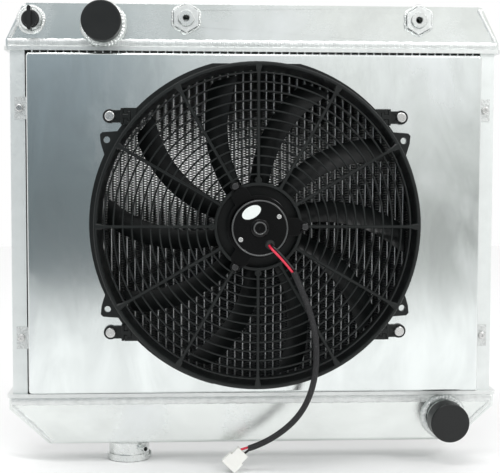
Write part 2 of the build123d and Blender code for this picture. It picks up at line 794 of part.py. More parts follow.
with BuildPart() as shroud_nuts:
    with BuildSketch(fan_front(channel_front - CHANNEL_T)):
        with GridLocations(2 * bolt_x, TAB_SPACING, 2, 2):
            RegularPolygon(BOLT_NUT_AF / 2, 6, major_radius=False, rotation=30)
            Circle(BOLT_R + THREAD_PLAY, mode=Mode.SUBTRACT)
    extrude(amount=-NUT_T)
finish(shroud_nuts, "shroud_nuts")

# ---- Fan moulding: flange, barrel, rim, ears and lugs ----
ear_outline = [
    (ear_x - EAR_INNER, ear_z + EAR_TOP + 2),
    (ear_x + EAR_R - 3, ear_z + EAR_TOP),
    (ear_x + EAR_R, ear_z + EAR_TOP - 3),
    (ear_x + EAR_R - 1, ear_z - 4),
    (ear_x + 3, ear_z - EAR_INNER),
    (ear_x - EAR_INNER, ear_z - EAR_INNER),
]

lug_outer = FOOT_X - FOOT_REACH - TONGUE_GAP
lug_inner = math.sqrt(THROAT_R**2 - (FOOT_Z - LUG_W / 2) ** 2) + BARREL_WALL / 2


def tongue_outlines(gap=0.0):
    """The feet's T-shaped tongues, widened all round by gap."""
    with Locations(*foot_corners):
        with Locations((-FOOT_REACH - TONGUE_L / 2, 0)):
            Rectangle(TONGUE_L + 2 * gap, TONGUE_W + 2 * gap)
        with Locations((-FOOT_REACH - TONGUE_L + TONGUE_HEAD_L / 2, 0)):
            Rectangle(TONGUE_HEAD_L + 2 * gap, TONGUE_HEAD_W + 2 * gap)


with BuildPart() as fan_housing:
    with BuildSketch(fan_front(SHROUD_DEPTH)):
        Circle(flange_r)
        Rectangle(2 * flange_r, 2 * flange_flat, mode=Mode.INTERSECT)
        for side in (-1, 1):
            for up in (-1, 1):
                corners = [(side * x, up * z) for x, z in ear_outline]
                with BuildLine():
                    Polyline(*corners, close=True)
                make_face()
        Circle(THROAT_R, mode=Mode.SUBTRACT)
        with GridLocations(2 * ear_x, 2 * ear_z, 2, 2):
            Circle(EAR_HOLE_R, mode=Mode.SUBTRACT)
        with Locations(*foot_corners):
            with Locations((-FOOT_REACH / 2 - TONGUE_GAP, 0)):
                Rectangle(FOOT_REACH, LUG_W + 2 * TONGUE_GAP, mode=Mode.SUBTRACT)
    extrude(amount=FLANGE_T)
    revolve(
        half_section(
            (THROAT_R, SHROUD_DEPTH + 1),
            (THROAT_R + BARREL_WALL, SHROUD_DEPTH + 1),
            (rim_r, RIM_DEPTH - BARREL_LIP),
            (rim_r, RIM_DEPTH),
            (rim_bore_r, RIM_DEPTH),
            (rim_bore_r, RIM_DEPTH - BARREL_LIP),
        ),
        axis=front_axis(),
    )
    with BuildSketch(fan_front(SHROUD_DEPTH)):
        with GridLocations(lug_outer + lug_inner, 2 * FOOT_Z, 2, 2):
            Rectangle(lug_outer - lug_inner, LUG_W)
    extrude(amount=LUG_T)
    with BuildSketch(fan_front(SHROUD_DEPTH)):
        tongue_outlines(TONGUE_GAP)
    extrude(amount=LUG_T, mode=Mode.SUBTRACT)
finish(fan_housing, "fan_housing")

with BuildPart() as mounting_feet:
    with BuildSketch(fan_front(SHROUD_DEPTH)):
        with Locations(*foot_corners):
            Circle(FOOT_R)
            with Locations((-FOOT_REACH / 2, 0)):
                Rectangle(FOOT_REACH, 2 * FOOT_R - 2)
            Circle(FOOT_SCREW_R + FOOT_SCREW_PLAY, mode=Mode.SUBTRACT)
    extrude(amount=FOOT_T)
    with BuildSketch(fan_front(SHROUD_DEPTH)):
        with Locations(*foot_corners):
            with Locations((-FOOT_REACH + FOOT_BAR / 2, 0)):
                Rectangle(FOOT_BAR, LUG_W)
        tongue_outlines()
    extrude(amount=LUG_T)
finish(mounting_feet, "mounting_feet")

with BuildPart() as foot_screws:
    with BuildSketch(fan_front(SHROUD_DEPTH + FOOT_T)):
        with Locations(*foot_corners):
            Circle(FOOT_SCREW_HEAD_R)
    extrude(amount=FOOT_SCREW_HEAD_H)
    fillet(foot_screws.edges().filter_by(GeomType.CIRCLE).group_by(Axis.Y)[0], FOOT_SCREW_EDGE)
    with BuildSketch(fan_front(SHROUD_DEPTH + FOOT_T)):
        with Locations(*foot_corners):
            Circle(FOOT_SCREW_R)
    extrude(amount=-(FOOT_T + SHEET + NUT_T + FOOT_SCREW_TIP))
finish(foot_screws, "foot_screws")

with BuildPart() as foot_nuts:
    with BuildSketch(fan_front(shroud_back)):
        with Locations(*foot_corners):
            RegularPolygon(FOOT_NUT_AF / 2, 6, major_radius=False)
            Circle(FOOT_SCREW_R + THREAD_PLAY, mode=Mode.SUBTRACT)
    extrude(amount=-NUT_T)
finish(foot_nuts, "foot_nuts")

# ---- Guard: rings and spokes from the rim to the motor's collar ----
with BuildPart() as fan_guard:
    with BuildSketch(fan_front(RIM_DEPTH)):
        Circle(rim_r - GUARD_SEAT)
        Circle(rim_bore_r - GUARD_SEAT, mode=Mode.SUBTRACT)
        for k in range(GUARD_RINGS):
            ring_r = outer_ring_r - k * ring_pitch
            Circle(ring_r + GUARD_RING_W / 2)
            Circle(ring_r - GUARD_RING_W / 2, mode=Mode.SUBTRACT)
        with PolarLocations((rim_bore_r + COLLAR_R) / 2, SPOKES):
            Rectangle(rim_bore_r - COLLAR_R + 4, SPOKE_W)
    extrude(amount=GUARD_T)
    with BuildSketch(fan_front(RIM_DEPTH)):
        with PolarLocations((outer_ring_r + COLLAR_R) / 2 + 2, SPOKES):
            Rectangle(outer_ring_r - COLLAR_R + 6, SPOKE_RIB_W)
    extrude(amount=-SPOKE_RIB)
    with BuildSketch(fan_front(guard_front - COLLAR_L)):
        Circle(COLLAR_R)
        with PolarLocations(boss_pitch_r, 4):
            Circle(EYELET_BOSS_R)
        with PolarLocations(boss_pitch_r, 3):
            Circle(ARM_BOSS_R)
        Circle(COLLAR_R - COLLAR_WALL, mode=Mode.SUBTRACT)
    extrude(amount=COLLAR_L)
    with BuildSketch(fan_front(guard_front)):
        with PolarLocations(boss_pitch_r, 3, start_angle=90, angular_range=270):
            Circle(EYELET_R)
        with PolarLocations(boss_pitch_r, 3):
            Circle(ARM_SCREW_R + THREAD_PLAY)
    extrude(amount=-COLLAR_L, mode=Mode.SUBTRACT)
finish(fan_guard, "fan_guard")

# ---- Motor bracket with three arms, and its screws ----
arm_outline = [
    (CAN_R - 2, -ARM_W / 2),
    (ARM_SHOULDER_R, -ARM_W / 2),
    (boss_pitch_r + ARM_END_R / 2, -ARM_END_R / 2),
    (boss_pitch_r + ARM_END_R / 2, ARM_END_R / 2),
    (ARM_SHOULDER_R, ARM_W / 2),
    (CAN_R - 2, ARM_W / 2),
]

with BuildPart() as motor_bracket:
    with BuildSketch(fan_front(guard_front)):
        Circle(bracket_ring_r)
        with PolarLocations(boss_pitch_r, 3):
            Circle(ARM_END_R)
        with PolarLocations(0, 3):
            Polygon(*arm_outline, align=None)
        Circle(CAN_R, mode=Mode.SUBTRACT)
        with PolarLocations(boss_pitch_r, 3):
            Circle(ARM_SCREW_R + THREAD_PLAY, mode=Mode.SUBTRACT)
    extrude(amount=BRACKET_T)
finish(motor_bracket, "motor_bracket")

with BuildPart() as bracket_screws:
    with BuildSketch(fan_front(guard_front + BRACKET_T)):
        with PolarLocations(boss_pitch_r, 3):
            Circle(ARM_SCREW_HEAD_R)
    extrude(amount=ARM_SCREW_HEAD_H)
    fillet(bracket_screws.edges().filter_by(GeomType.CIRCLE).group_by(Axis.Y)[0], ARM_SCREW_EDGE)
    with BuildSketch(fan_front(guard_front + BRACKET_T)):
        with PolarLocations(boss_pitch_r, 3):
            Circle(ARM_SCREW_R)
    extrude(amount=-(BRACKET_T + COLLAR_L - 2))
finish(bracket_screws, "bracket_screws")

# ---- Motor: can, end cap, magnets, brush gear and bearings ----
rear_boss = can_rear - CAN_BOSS_H
nose_front = motor_face + NOSE_H

with BuildPart() as motor_can:
    revolve(
        half_section(
            (CAN_R, can_front),
            (CAN_R, can_rear + CAN_EDGE),
            (CAN_R - CAN_EDGE, can_rear),
            (BEARING_R + 2, can_rear),
            (BEARING_R + 2, rear_boss),
            (SHAFT_R + SHAFT_CLEARANCE, rear_boss),
            (SHAFT_R + SHAFT_CLEARANCE, rear_boss + CAN_BOSS_LIP),
            (BEARING_R, rear_boss + CAN_BOSS_LIP),
            (BEARING_R, can_rear + CAN_WALL),
            (CAN_R - CAN_WALL, can_rear + CAN_WALL),
            (CAN_R - CAN_WALL, can_front),
        ),
        axis=front_axis(),
    )
finish(motor_can, "motor_can")

with BuildPart() as motor_end_cap:
    revolve(
        half_section(
            (0, nose_front - NOSE_MOUTH_DEPTH),
            (NOSE_MOUTH_R, nose_front - NOSE_MOUTH_DEPTH),
            (NOSE_MOUTH_R, nose_front),
            (BEARING_R, nose_front),
            (BEARING_R + NOSE_STEP / 3, nose_front - NOSE_STEP),
            (NOSE_R - NOSE_STEP, nose_front - NOSE_STEP),
            (NOSE_R, nose_front - 2 * NOSE_STEP),
            (NOSE_R, motor_face),
            (motor_cap_r - CAP_RIM, motor_face),
            (motor_cap_r - CAP_RIM + CAP_RIM_H, motor_face + CAP_RIM_H),
            (motor_cap_r - CAP_RIM_H, motor_face + CAP_RIM_H),
            (motor_cap_r, motor_face),
            (motor_cap_r, can_front),
            (motor_cap_r - CAP_SKIRT, can_front),
            (motor_cap_r - CAP_SKIRT, motor_face - CAP_PLATE),
            (BEARING_R, motor_face - CAP_PLATE),
            (BEARING_R, nose_front - CAP_PLATE),
            (0, nose_front - CAP_PLATE),
        ),
        axis=front_axis(),
    )
    with BuildSketch(fan_front(motor_face)):
        with PolarLocations(CAP_SCREW_R, 2, start_angle=CAP_SCREW_TURN):
            Circle(CAP_SCREW_SHANK_R + THREAD_PLAY)
        with Locations((GROMMET_X, GROMMET_Z)):
            Circle(GROMMET_R - GROMMET_LIP)
    extrude(amount=-CAP_PLATE, mode=Mode.SUBTRACT)
finish(motor_end_cap, "motor_end_cap")

with BuildPart() as end_cap_screws:
    with BuildSketch(fan_front(motor_face)):
        with PolarLocations(CAP_SCREW_R, 2, start_angle=CAP_SCREW_TURN):
            Circle(CAP_SCREW_HEAD_R)
    extrude(amount=CAP_SCREW_HEAD_H)
    fillet(end_cap_screws.edges().filter_by(GeomType.CIRCLE).group_by(Axis.Y)[0], CAP_SCREW_EDGE)
    with BuildSketch(fan_front(motor_face)):
        with PolarLocations(CAP_SCREW_R, 2, start_angle=CAP_SCREW_TURN):
            Circle(CAP_SCREW_SHANK_R)
    extrude(amount=-CAP_SCREW_L)
finish(end_cap_screws, "end_cap_screws")

with BuildPart() as motor_label:
    with BuildSketch(fan_front(motor_face)):
        with Locations((LABEL_X, LABEL_Z)):
            Ellipse(LABEL_W / 2, LABEL_H / 2, rotation=LABEL_TILT)
    extrude(amount=LABEL_T)
finish(motor_label, "motor_label")

grommet_z = FAN_Z + GROMMET_Z
with BuildPart() as cable_grommet:
    revolve(
        half_section(
            (0, motor_face - CAP_PLATE),
            (GROMMET_R - GROMMET_LIP, motor_face - CAP_PLATE),
            (GROMMET_R - GROMMET_LIP, motor_face),
            (GROMMET_R, motor_face),
            (GROMMET_R - GROMMET_LIP, grommet_face),
            (0, grommet_face),
            x=GROMMET_X,
            z=grommet_z,
        ),
        axis=front_axis(GROMMET_X, grommet_z),
    )
finish(cable_grommet, "cable_grommet")

bearing_bore = SHAFT_R + SHAFT_PLAY
front_bearing_front = nose_front - CAP_PLATE
bearings = (
    ("front_bearing", front_bearing_front - BEARING_L),
    ("rear_bearing", rear_boss + CAN_BOSS_LIP),
)
for name, low in bearings:
    with BuildPart() as bearing:
        with BuildSketch(fan_front(low)):
            Circle(BEARING_R)
            Circle(bearing_bore, mode=Mode.SUBTRACT)
        extrude(amount=BEARING_L)
    finish(bearing, name)

magnet_outer = CAN_R - CAN_WALL
stack_r = magnet_outer - MAGNET_T - MAGNET_GAP
magnet_split = 2 * magnet_outer * math.cos(math.radians(MAGNET_SPAN / 2))
with BuildPart() as motor_magnets:
    with BuildSketch(fan_front(stack_rear - MAGNET_OVERHANG)):
        Circle(magnet_outer)
        Circle(magnet_outer - MAGNET_T, mode=Mode.SUBTRACT)
        with PolarLocations(magnet_outer, 2, start_angle=90):
            Rectangle(2 * magnet_outer, magnet_split, mode=Mode.SUBTRACT)
    extrude(amount=stack_front - stack_rear + 2 * MAGNET_OVERHANG)
finish(motor_magnets, "motor_magnets")

brush_mid = (stack_front + WINDING_L + commutator_front) / 2 + BRUSH_OFFSET
brush_inner = COMMUTATOR_R + BRUSH_GAP
holder_back = brush_mid + BRUSH_H / 2
holder_mid = brush_inner + HOLDER_SLEEVE_L / 2 + 1
with BuildPart() as brushes:
    with BuildSketch(fan_front(brush_mid - BRUSH_H / 2)):
        with PolarLocations(brush_inner + BRUSH_L / 2, 2, start_angle=CAP_SCREW_TURN + 90):
            Rectangle(BRUSH_L, BRUSH_W)
    extrude(amount=BRUSH_H)
finish(brushes, "brushes")

with BuildPart() as brush_holder:
    with BuildSketch(fan_front(holder_back)):
        Circle(CAN_R - CAN_WALL)
        Circle(COMMUTATOR_R + HOLDER_BORE_GAP, mode=Mode.SUBTRACT)
    extrude(amount=HOLDER_T)
    with BuildSketch(fan_front(holder_back - BRUSH_H)):
        with PolarLocations(holder_mid, 2, start_angle=CAP_SCREW_TURN + 90):
            Rectangle(HOLDER_SLEEVE_L, BRUSH_W + 2 * HOLDER_WALL)
            Rectangle(HOLDER_SLEEVE_L, BRUSH_W, mode=Mode.SUBTRACT)
    extrude(amount=BRUSH_H)
finish(brush_holder, "brush_holder")

with BuildPart() as brush_springs:
    with BuildSketch(fan_front(brush_mid - BRUSH_H / 2 + SPRING_WIRE)):
        with PolarLocations(brush_inner + BRUSH_L + SPRING_L / 2, 2, start_angle=CAP_SCREW_TURN + 90):
            Rectangle(SPRING_L, BRUSH_W - 1)
            Rectangle(SPRING_L - 2 * SPRING_WIRE, BRUSH_W - 1 - 2 * SPRING_WIRE, mode=Mode.SUBTRACT)
    extrude(amount=BRUSH_H - 2 * SPRING_WIRE)
finish(brush_springs, "brush_springs")

# ---- Everything that spins: shaft, armature, commutator, hub with blades, nut ----
shaft_front = front_bearing_front - SHAFT_CLEARANCE
with BuildPart() as motor_shaft:
    with BuildSketch(fan_front(shaft_rear)):
        Circle(SHAFT_R)
    extrude(amount=shaft_front - shaft_rear)
finish(motor_shaft, "motor_shaft")

with BuildPart() as armature:
    with BuildSketch(fan_front(stack_rear)):
        Circle(stack_r)
        Circle(SHAFT_R, mode=Mode.SUBTRACT)
        with PolarLocations(stack_r - SLOT_MID, STACK_SLOTS):
            Rectangle(SLOT_L, SLOT_W, mode=Mode.SUBTRACT)
    extrude(amount=stack_front - stack_rear)
finish(armature, "armature")

with BuildPart() as armature_windings:
    for low in (stack_rear - WINDING_L, stack_front):
        with BuildSketch(fan_front(low)):
            Circle(stack_r - WINDING_INSET)
            Circle(SHAFT_R + WINDING_BORE_GAP, mode=Mode.SUBTRACT)
        extrude(amount=WINDING_L)
finish(armature_windings, "armature_windings")

with BuildPart() as commutator:
    with BuildSketch(fan_front(stack_front + WINDING_L)):
        Circle(COMMUTATOR_R)
        Circle(SHAFT_R, mode=Mode.SUBTRACT)
        with PolarLocations(COMMUTATOR_R, STACK_SLOTS):
            Rectangle(SEGMENT_GAP_L, SEGMENT_GAP_W, mode=Mode.SUBTRACT)
    extrude(amount=commutator_front - stack_front - WINDING_L)
finish(commutator, "commutator")

boss_rear = hub_rear - HUB_BOSS_L
boss_front = rear_boss - CAN_BOSS_LIP


def blade_section(share):
    """A blade's section at a share of the way from root to tip, square to the radius."""
    radius = blade_root_r + share * (blade_tip_r - blade_root_r)
    turn = math.radians(TIP_TURN + BLADE_SWEEP * (1 - share**1.3))
    pitch = math.radians(ROOT_PITCH + share * (TIP_PITCH - ROOT_PITCH))
    outward = Vector(math.cos(turn), 0, math.sin(turn))
    across = Vector(-math.sin(turn), 0, math.cos(turn))
    chord_way = across * math.cos(pitch) + Vector(0, 1, 0) * math.sin(pitch)
    middle = Vector(0, -blade_depth, FAN_Z) + outward * radius
    with BuildSketch(Plane(origin=middle, x_dir=chord_way, z_dir=outward)) as section:
        Rectangle(ROOT_CHORD + share * (TIP_CHORD - ROOT_CHORD), BLADE_T)
    return section.sketch.face()


blade_wires = [blade_section(k / (BLADE_STATIONS - 1)).outer_wire() for k in range(BLADE_STATIONS)]
first_blade = Solid.make_loft(blade_wires, ruled=True)
with BuildPart() as fan_rotor:
    revolve(
        half_section(
            (SHAFT_R, boss_rear),
            (HUB_BOSS_R, boss_rear),
            (HUB_BOSS_R, hub_rear),
            (HUB_R - HUB_EDGE, hub_rear),
            (HUB_R, hub_rear + HUB_EDGE),
            (HUB_R, hub_front - HUB_EDGE),
            (HUB_R - HUB_EDGE, hub_front),
            (hub_mouth_r, hub_front),
            (hub_mouth_r, hub_front - HUB_WALL),
            (HUB_R - HUB_WALL, hub_front - HUB_WALL),
            (HUB_R - HUB_WALL, hub_rear + HUB_WALL),
            (HUB_BOSS_R, hub_rear + HUB_WALL),
            (HUB_BOSS_R, boss_front),
            (SHAFT_R, boss_front),
        ),
        axis=front_axis(),
    )
    for k in range(BLADES):
        add(first_blade.rotate(front_axis(), k * 360 / BLADES))
finish(fan_rotor, "fan_rotor")

with BuildPart() as rotor_nut:
    with BuildSketch(fan_front(shaft_rear + ROTOR_NUT_GAP)):
        RegularPolygon(ROTOR_NUT_AF / 2, 6, major_radius=False)
        Circle(SHAFT_R, mode=Mode.SUBTRACT)
    extrude(amount=boss_rear - shaft_rear - ROTOR_NUT_GAP)
finish(rotor_nut, "rotor_nut")


# ---- Lead: two wires, their sleeve, and a two-way connector ----
def lead(route, radius, name):
    """A round lead along straight runs and tangent arcs as large as the runs allow."""
    points = [Vector(p) for p in route]
    radii = []
    for before, here, after in zip(points, points[1:], points[2:]):
        run_in = here - before
        run_out = after - here
        half_turn = math.radians(run_in.get_angle(run_out)) / 2
        radii.append(ARC_SHARE * min(run_in.length, run_out.length) / math.tan(half_turn))
    with BuildPart() as piece:
        with BuildLine() as path:
            FilletPolyline(*points, radius=radii)
        with BuildSketch(Plane(origin=points[0], z_dir=points[1] - points[0])):
            Circle(radius)
        sweep(path=path.wires()[0])
    length = path.wires()[0].length
    share = piece.part.volume / (math.pi * radius**2 * length)
    print(f"{name}: {length:.1f} mm long, tightest {min(radii):.1f} mm, volume {share:.4f}")
    return piece


sleeve_start = Vector(SLEEVE_ROUTE[0])
sleeve_end = Vector(SLEEVE_ROUTE[-1])
sleeve_mouth = Plane(origin=sleeve_start, z_dir=sleeve_start - Vector(SLEEVE_ROUTE[1]))
sleeve_tail = Plane(origin=sleeve_end, z_dir=sleeve_end - Vector(SLEEVE_ROUTE[-2]))

for name, side in (("red_wire", 1), ("black_wire", -1)):
    with BuildPart() as wire:
        add(lead([Vector(p) + WIRE_OFFSET * side for p in WIRE_ROUTE], WIRE_R, name).part)
        split(bisect_by=sleeve_mouth, keep=Keep.TOP)
        split(bisect_by=front(grommet_face), keep=Keep.TOP)
    finish(wire, name)
finish(lead(SLEEVE_ROUTE, SLEEVE_R, "lead_sleeve"), "lead_sleeve")

connector_way = Vector(1, 0, 0).rotate(Axis.Y, -CONNECTOR_TURN)
connector_across = connector_way.cross(Vector(0, -1, 0))
connector_plane = Plane(origin=CONNECTOR_REAR, x_dir=connector_way, z_dir=(0, -1, 0))

for name, side in (("red_wire_end", 1), ("black_wire_end", -1)):
    tail_from = sleeve_end + connector_across * side * TAIL_OFFSET
    tail_to = CONNECTOR_REAR + connector_across * side * TERMINAL_PITCH / 2
    with BuildPart() as tail:
        with BuildSketch(Plane(origin=tail_from, z_dir=tail_to - tail_from)):
            Circle(WIRE_R)
        extrude(amount=(tail_to - tail_from).length)
        split(bisect_by=Plane(origin=CONNECTOR_REAR, z_dir=connector_way), keep=Keep.BOTTOM)
        split(bisect_by=sleeve_tail, keep=Keep.TOP)
    finish(tail, name)

with BuildPart() as connector:
    with BuildSketch(connector_plane):
        with Locations((CONNECTOR_REAR_L / 2, 0)):
            Rectangle(CONNECTOR_REAR_L, CONNECTOR_REAR_W)
        with Locations((CONNECTOR_REAR_L + CONNECTOR_FRONT_L / 2, 0)):
            Rectangle(CONNECTOR_FRONT_L, CONNECTOR_FRONT_W)
    extrude(amount=CONNECTOR_T / 2, both=True)
    with BuildSketch(connector_plane):
        with Locations((CONNECTOR_REAR_L + CONNECTOR_FRONT_L / 2, 0)):
            Rectangle(CONNECTOR_FRONT_L, CONNECTOR_FRONT_W - 2 * CONNECTOR_WALL)
    extrude(amount=CONNECTOR_T / 2 - CONNECTOR_WALL, both=True, mode=Mode.SUBTRACT)
finish(connector, "connector")

with BuildPart() as terminals:
    with BuildSketch(connector_plane):
        with Locations((CONNECTOR_REAR_L + TERMINAL_L / 2, 0)):
            with GridLocations(0, TERMINAL_PITCH, 1, 2):
                Rectangle(TERMINAL_L, TERMINAL_W)
    extrude(amount=TERMINAL_T / 2, both=True)
finish(terminals, "terminals")
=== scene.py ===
import math

import bmesh
import bpy
from mathutils import Matrix, Vector


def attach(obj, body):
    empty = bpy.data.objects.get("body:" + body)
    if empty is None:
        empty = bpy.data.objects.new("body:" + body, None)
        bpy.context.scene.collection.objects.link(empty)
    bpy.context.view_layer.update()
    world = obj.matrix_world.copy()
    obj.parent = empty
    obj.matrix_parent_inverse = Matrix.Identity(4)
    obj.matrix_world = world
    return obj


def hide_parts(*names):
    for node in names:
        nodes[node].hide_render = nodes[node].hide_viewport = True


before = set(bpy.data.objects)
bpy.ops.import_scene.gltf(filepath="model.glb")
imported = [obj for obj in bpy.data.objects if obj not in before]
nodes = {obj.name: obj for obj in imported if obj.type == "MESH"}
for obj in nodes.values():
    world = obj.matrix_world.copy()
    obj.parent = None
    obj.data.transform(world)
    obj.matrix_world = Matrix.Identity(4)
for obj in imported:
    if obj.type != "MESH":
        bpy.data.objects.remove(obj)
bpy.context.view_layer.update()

# ---- Shared sizes, in metres, with the part's own origin and axes ----
FAN_Z = -0.285
FLOOR_Z = -0.603
CORE_W = 0.597
CORE_H = 0.449
CORE_TOP = -0.0605
CORE_D = 0.056
TUBE_COUNT = 58
TUBE_T = 0.0021
TUBE_PITCH = (CORE_W + TUBE_T) / (TUBE_COUNT + 1)
TANK_FRONT = 0.033
SHROUD_HALF = 0.293
GUARD_BACK = 0.108
GUARD_FRONT = 0.112
CAP_FACE = 0.1415
STUBS = {"outlet": (-0.1968, -0.0268), "inlet": (0.254, -0.5438)}
PORTS_X = (-0.0898, 0.215)
PORT_Z = -0.0184
DRAIN = (-0.2894, -0.0217)
NECK_X = -0.1668

scene = bpy.context.scene


# ---- Camera, at the photograph's angle ----
SENSOR_WIDTH = 36  # in millimetres, as the lens is
LENS = 83.45
CAMERA_PLACE = (-0.09355, -1.55507, -0.20621)
CAMERA_YAW = 0.0575
CAMERA_PITCH = -0.0628
CAMERA_ROLL = -0.0028


def make_camera():
    data = bpy.data.cameras.new("camera")
    data.sensor_width = SENSOR_WIDTH
    data.lens = LENS
    data.dof.use_dof = False
    camera = bpy.data.objects.new("camera", data)
    scene.collection.objects.link(camera)
    camera.location = CAMERA_PLACE
    level = math.cos(CAMERA_PITCH)
    forward = Vector((math.sin(CAMERA_YAW) * level, math.cos(CAMERA_YAW) * level, math.sin(CAMERA_PITCH)))
    turn = forward.to_track_quat("-Z", "Y").to_matrix() @ Matrix.Rotation(-CAMERA_ROLL, 3, "Z")
    camera.rotation_euler = turn.to_euler()
    scene.camera = camera


make_camera()

# ---- Lead: two wires into a braided sleeve that ends at the connector ----
WIRE_ROUTE = [
    (0.0126, -0.1440, -0.3055),
    (0.0132, -0.1520, -0.3070),
    (0.0186, -0.1586, -0.3125),
    (0.0310, -0.1572, -0.3254),
    (0.0408, -0.1490, -0.3376),
]
SLEEVE_ROUTE = [
    (0.0408, -0.1490, -0.3376),
    (0.0528, -0.1430, -0.3640),
    (0.0635, -0.1370, -0.3910),
    (0.0706, -0.1315, -0.4200),
    (0.0724, -0.1280, -0.4490),
    (0.0702, -0.1245, -0.4770),
    (0.0638, -0.1180, -0.5020),
    (0.0538, -0.1100, -0.5230),
    (0.0393, -0.1020, -0.5410),
    (0.0198, -0.0950, -0.5570),
    (-0.0001, -0.0895, -0.5680),
    (-0.0096, -0.0870, -0.5716),
]
WIRE_OFFSET = Vector((-0.0012, -0.0006, -0.0011))
WIRE_R = 0.00155
SLEEVE_R = 0.0039


def curve_along(name, points, radius):
    data = bpy.data.curves.new(name, "CURVE")
    data.dimensions = "3D"
    data.bevel_depth = radius
    data.bevel_resolution = 4
    data.resolution_u = 8
    data.use_fill_caps = True
    line = data.splines.new("NURBS")
    line.points.add(len(points) - 1)
    for point, place in zip(line.points, points):
        point.co = (*place, 1.0)
    line.order_u = 3
    line.use_endpoint_u = True
    piece = bpy.data.objects.new(name, data)
    scene.collection.objects.link(piece)
    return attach(piece, "radiator")


sleeve = curve_along("lead_sleeve_cord", SLEEVE_ROUTE, SLEEVE_R)
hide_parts("lead_sleeve")
wires = {}
for colour, side in (("red", 1), ("black", -1)):
    route = [Vector(p) + WIRE_OFFSET * side for p in WIRE_ROUTE]
    wire = curve_along(f"{colour}_wire_cord", route, WIRE_R)
    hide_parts(f"{colour}_wire")
    wires[colour] = wire


# ---- Procedural finishes ----
def new_material(name, rough, metallic=0.0, coat=0.0, specular=0.5):
    material = bpy.data.materials.new(name)
    material.use_nodes = True
    tree = material.node_tree
    shader = tree.nodes["Principled BSDF"]
    shader.inputs["Roughness"].default_value = rough
    shader.inputs["Metallic"].default_value = metallic
    shader.inputs["Coat Weight"].default_value = coat
    shader.inputs["Specular IOR Level"].default_value = specular
    return material, tree, shader


def coordinates(tree, stretch=(1, 1, 1), turn=(0, 0, 0)):
    place = tree.nodes.new("ShaderNodeTexCoord")
    mapping = tree.nodes.new("ShaderNodeMapping")
    mapping.inputs["Scale"].default_value = stretch
    mapping.inputs["Rotation"].default_value = turn
    tree.links.new(place.outputs["Object"], mapping.inputs["Vector"])
    return mapping.outputs["Vector"]


def noise(tree, vector, scale, detail=4.0, rough=0.55, distortion=0.0):
    node = tree.nodes.new("ShaderNodeTexNoise")
    node.inputs["Scale"].default_value = scale
    node.inputs["Detail"].default_value = detail
    node.inputs["Roughness"].default_value = rough
    node.inputs["Distortion"].default_value = distortion
    tree.links.new(vector, node.inputs["Vector"])
    return node.outputs["Fac"]


def ramp(tree, value, stops):
    """A colour ramp; stops are (place, grey or colour)."""
    node = tree.nodes.new("ShaderNodeValToRGB")
    elements = node.color_ramp.elements
    while len(elements) < len(stops):
        elements.new(0.5)
    for element, (place, colour) in zip(elements, stops):
        element.position = place
        element.color = (*colour, 1) if isinstance(colour, tuple) else (colour, colour, colour, 1)
    tree.links.new(value, node.inputs["Fac"])
    return node.outputs["Color"]


def mix(tree, factor, a, b, kind="MIX"):
    node = tree.nodes.new("ShaderNodeMix")
    node.data_type = "RGBA"
    node.blend_type = kind
    for socket, value in ((node.inputs[0], factor), (node.inputs[6], a), (node.inputs[7], b)):
        if isinstance(value, bpy.types.NodeSocket):
            tree.links.new(value, socket)
        elif isinstance(value, tuple):
            socket.default_value = (*value, 1)
        else:
            socket.default_value = value
    return node.outputs[2]


def bump(tree, shader, height, strength, distance=0.001):
    node = tree.nodes.new("ShaderNodeBump")
    node.inputs["Strength"].default_value = strength
    node.inputs["Distance"].default_value = distance
    tree.links.new(height, node.inputs["Height"])
    tree.links.new(node.outputs["Normal"], shader.inputs["Normal"])


def sheet_metal(name, tone, rough, streak=(1, 1, 1), smear=(1, 1, 1), depth=0.25, frosted=False):
    """Rolled aluminium sheet: fine streaks one way, smeared clouds, scratches and frosted specks."""
    material, tree, shader = new_material(name, rough, metallic=1.0)
    plain = coordinates(tree)
    streaks = noise(tree, coordinates(tree, streak), 60, 3)
    clouds = noise(tree, coordinates(tree, smear), 9, 7, 0.62, 0.9)
    patches = noise(tree, coordinates(tree, smear), 3.5, 6, 0.6, 0.4)
    specks = noise(tree, plain, 260, 3, 0.6)
    dull = tuple(c * (1 - depth) for c in tone)
    base = mix(tree, ramp(tree, clouds, [(0.36, 0.0), (0.64, 1.0)]), tone, dull)
    milky = ramp(tree, patches, [(0.48, 0.0), (0.64, 0.55)])
    base = mix(tree, milky, base, (0.90, 0.93, 0.94))
    sprinkle = mix(tree, 1.0, ramp(tree, specks, [(0.66, 0.0), (0.71, 1.0)]), milky, "MULTIPLY")
    base = mix(tree, sprinkle, base, (1.0, 1.0, 1.0))
    fine = ramp(tree, streaks, [(0.3, rough * 0.75), (0.7, rough * 1.3)])
    wide = ramp(tree, clouds, [(0.35, rough * 0.85), (0.75, rough * 1.3)])
    grain = mix(tree, milky, mix(tree, 0.5, fine, wide), (0.48, 0.48, 0.48))
    if frosted:
        split = tree.nodes.new("ShaderNodeSeparateXYZ")
        tree.links.new(plain, split.inputs["Vector"])
        outer = tree.nodes.new("ShaderNodeMath")
        outer.operation = "ABSOLUTE"
        tree.links.new(split.outputs["X"], outer.inputs[0])
        edge = tree.nodes.new("ShaderNodeMath")
        edge.operation = "GREATER_THAN"
        edge.inputs[1].default_value = SHROUD_HALF - 0.0012
        tree.links.new(outer.outputs[0], edge.inputs[0])
        knurl = ramp(tree, noise(tree, plain, 900, 2, 0.5), [(0.42, 0.35), (0.60, 0.95)])
        base = mix(tree, edge.outputs[0], base, mix(tree, 0.55, (0.86, 0.88, 0.87), knurl, "MULTIPLY"))
        grain = mix(tree, edge.outputs[0], grain, (0.5, 0.5, 0.5))
    tree.links.new(base, shader.inputs["Base Color"])
    tree.links.new(grain, shader.inputs["Roughness"])
    bump(tree, shader, streaks, 0.06, 0.0003)
    return material


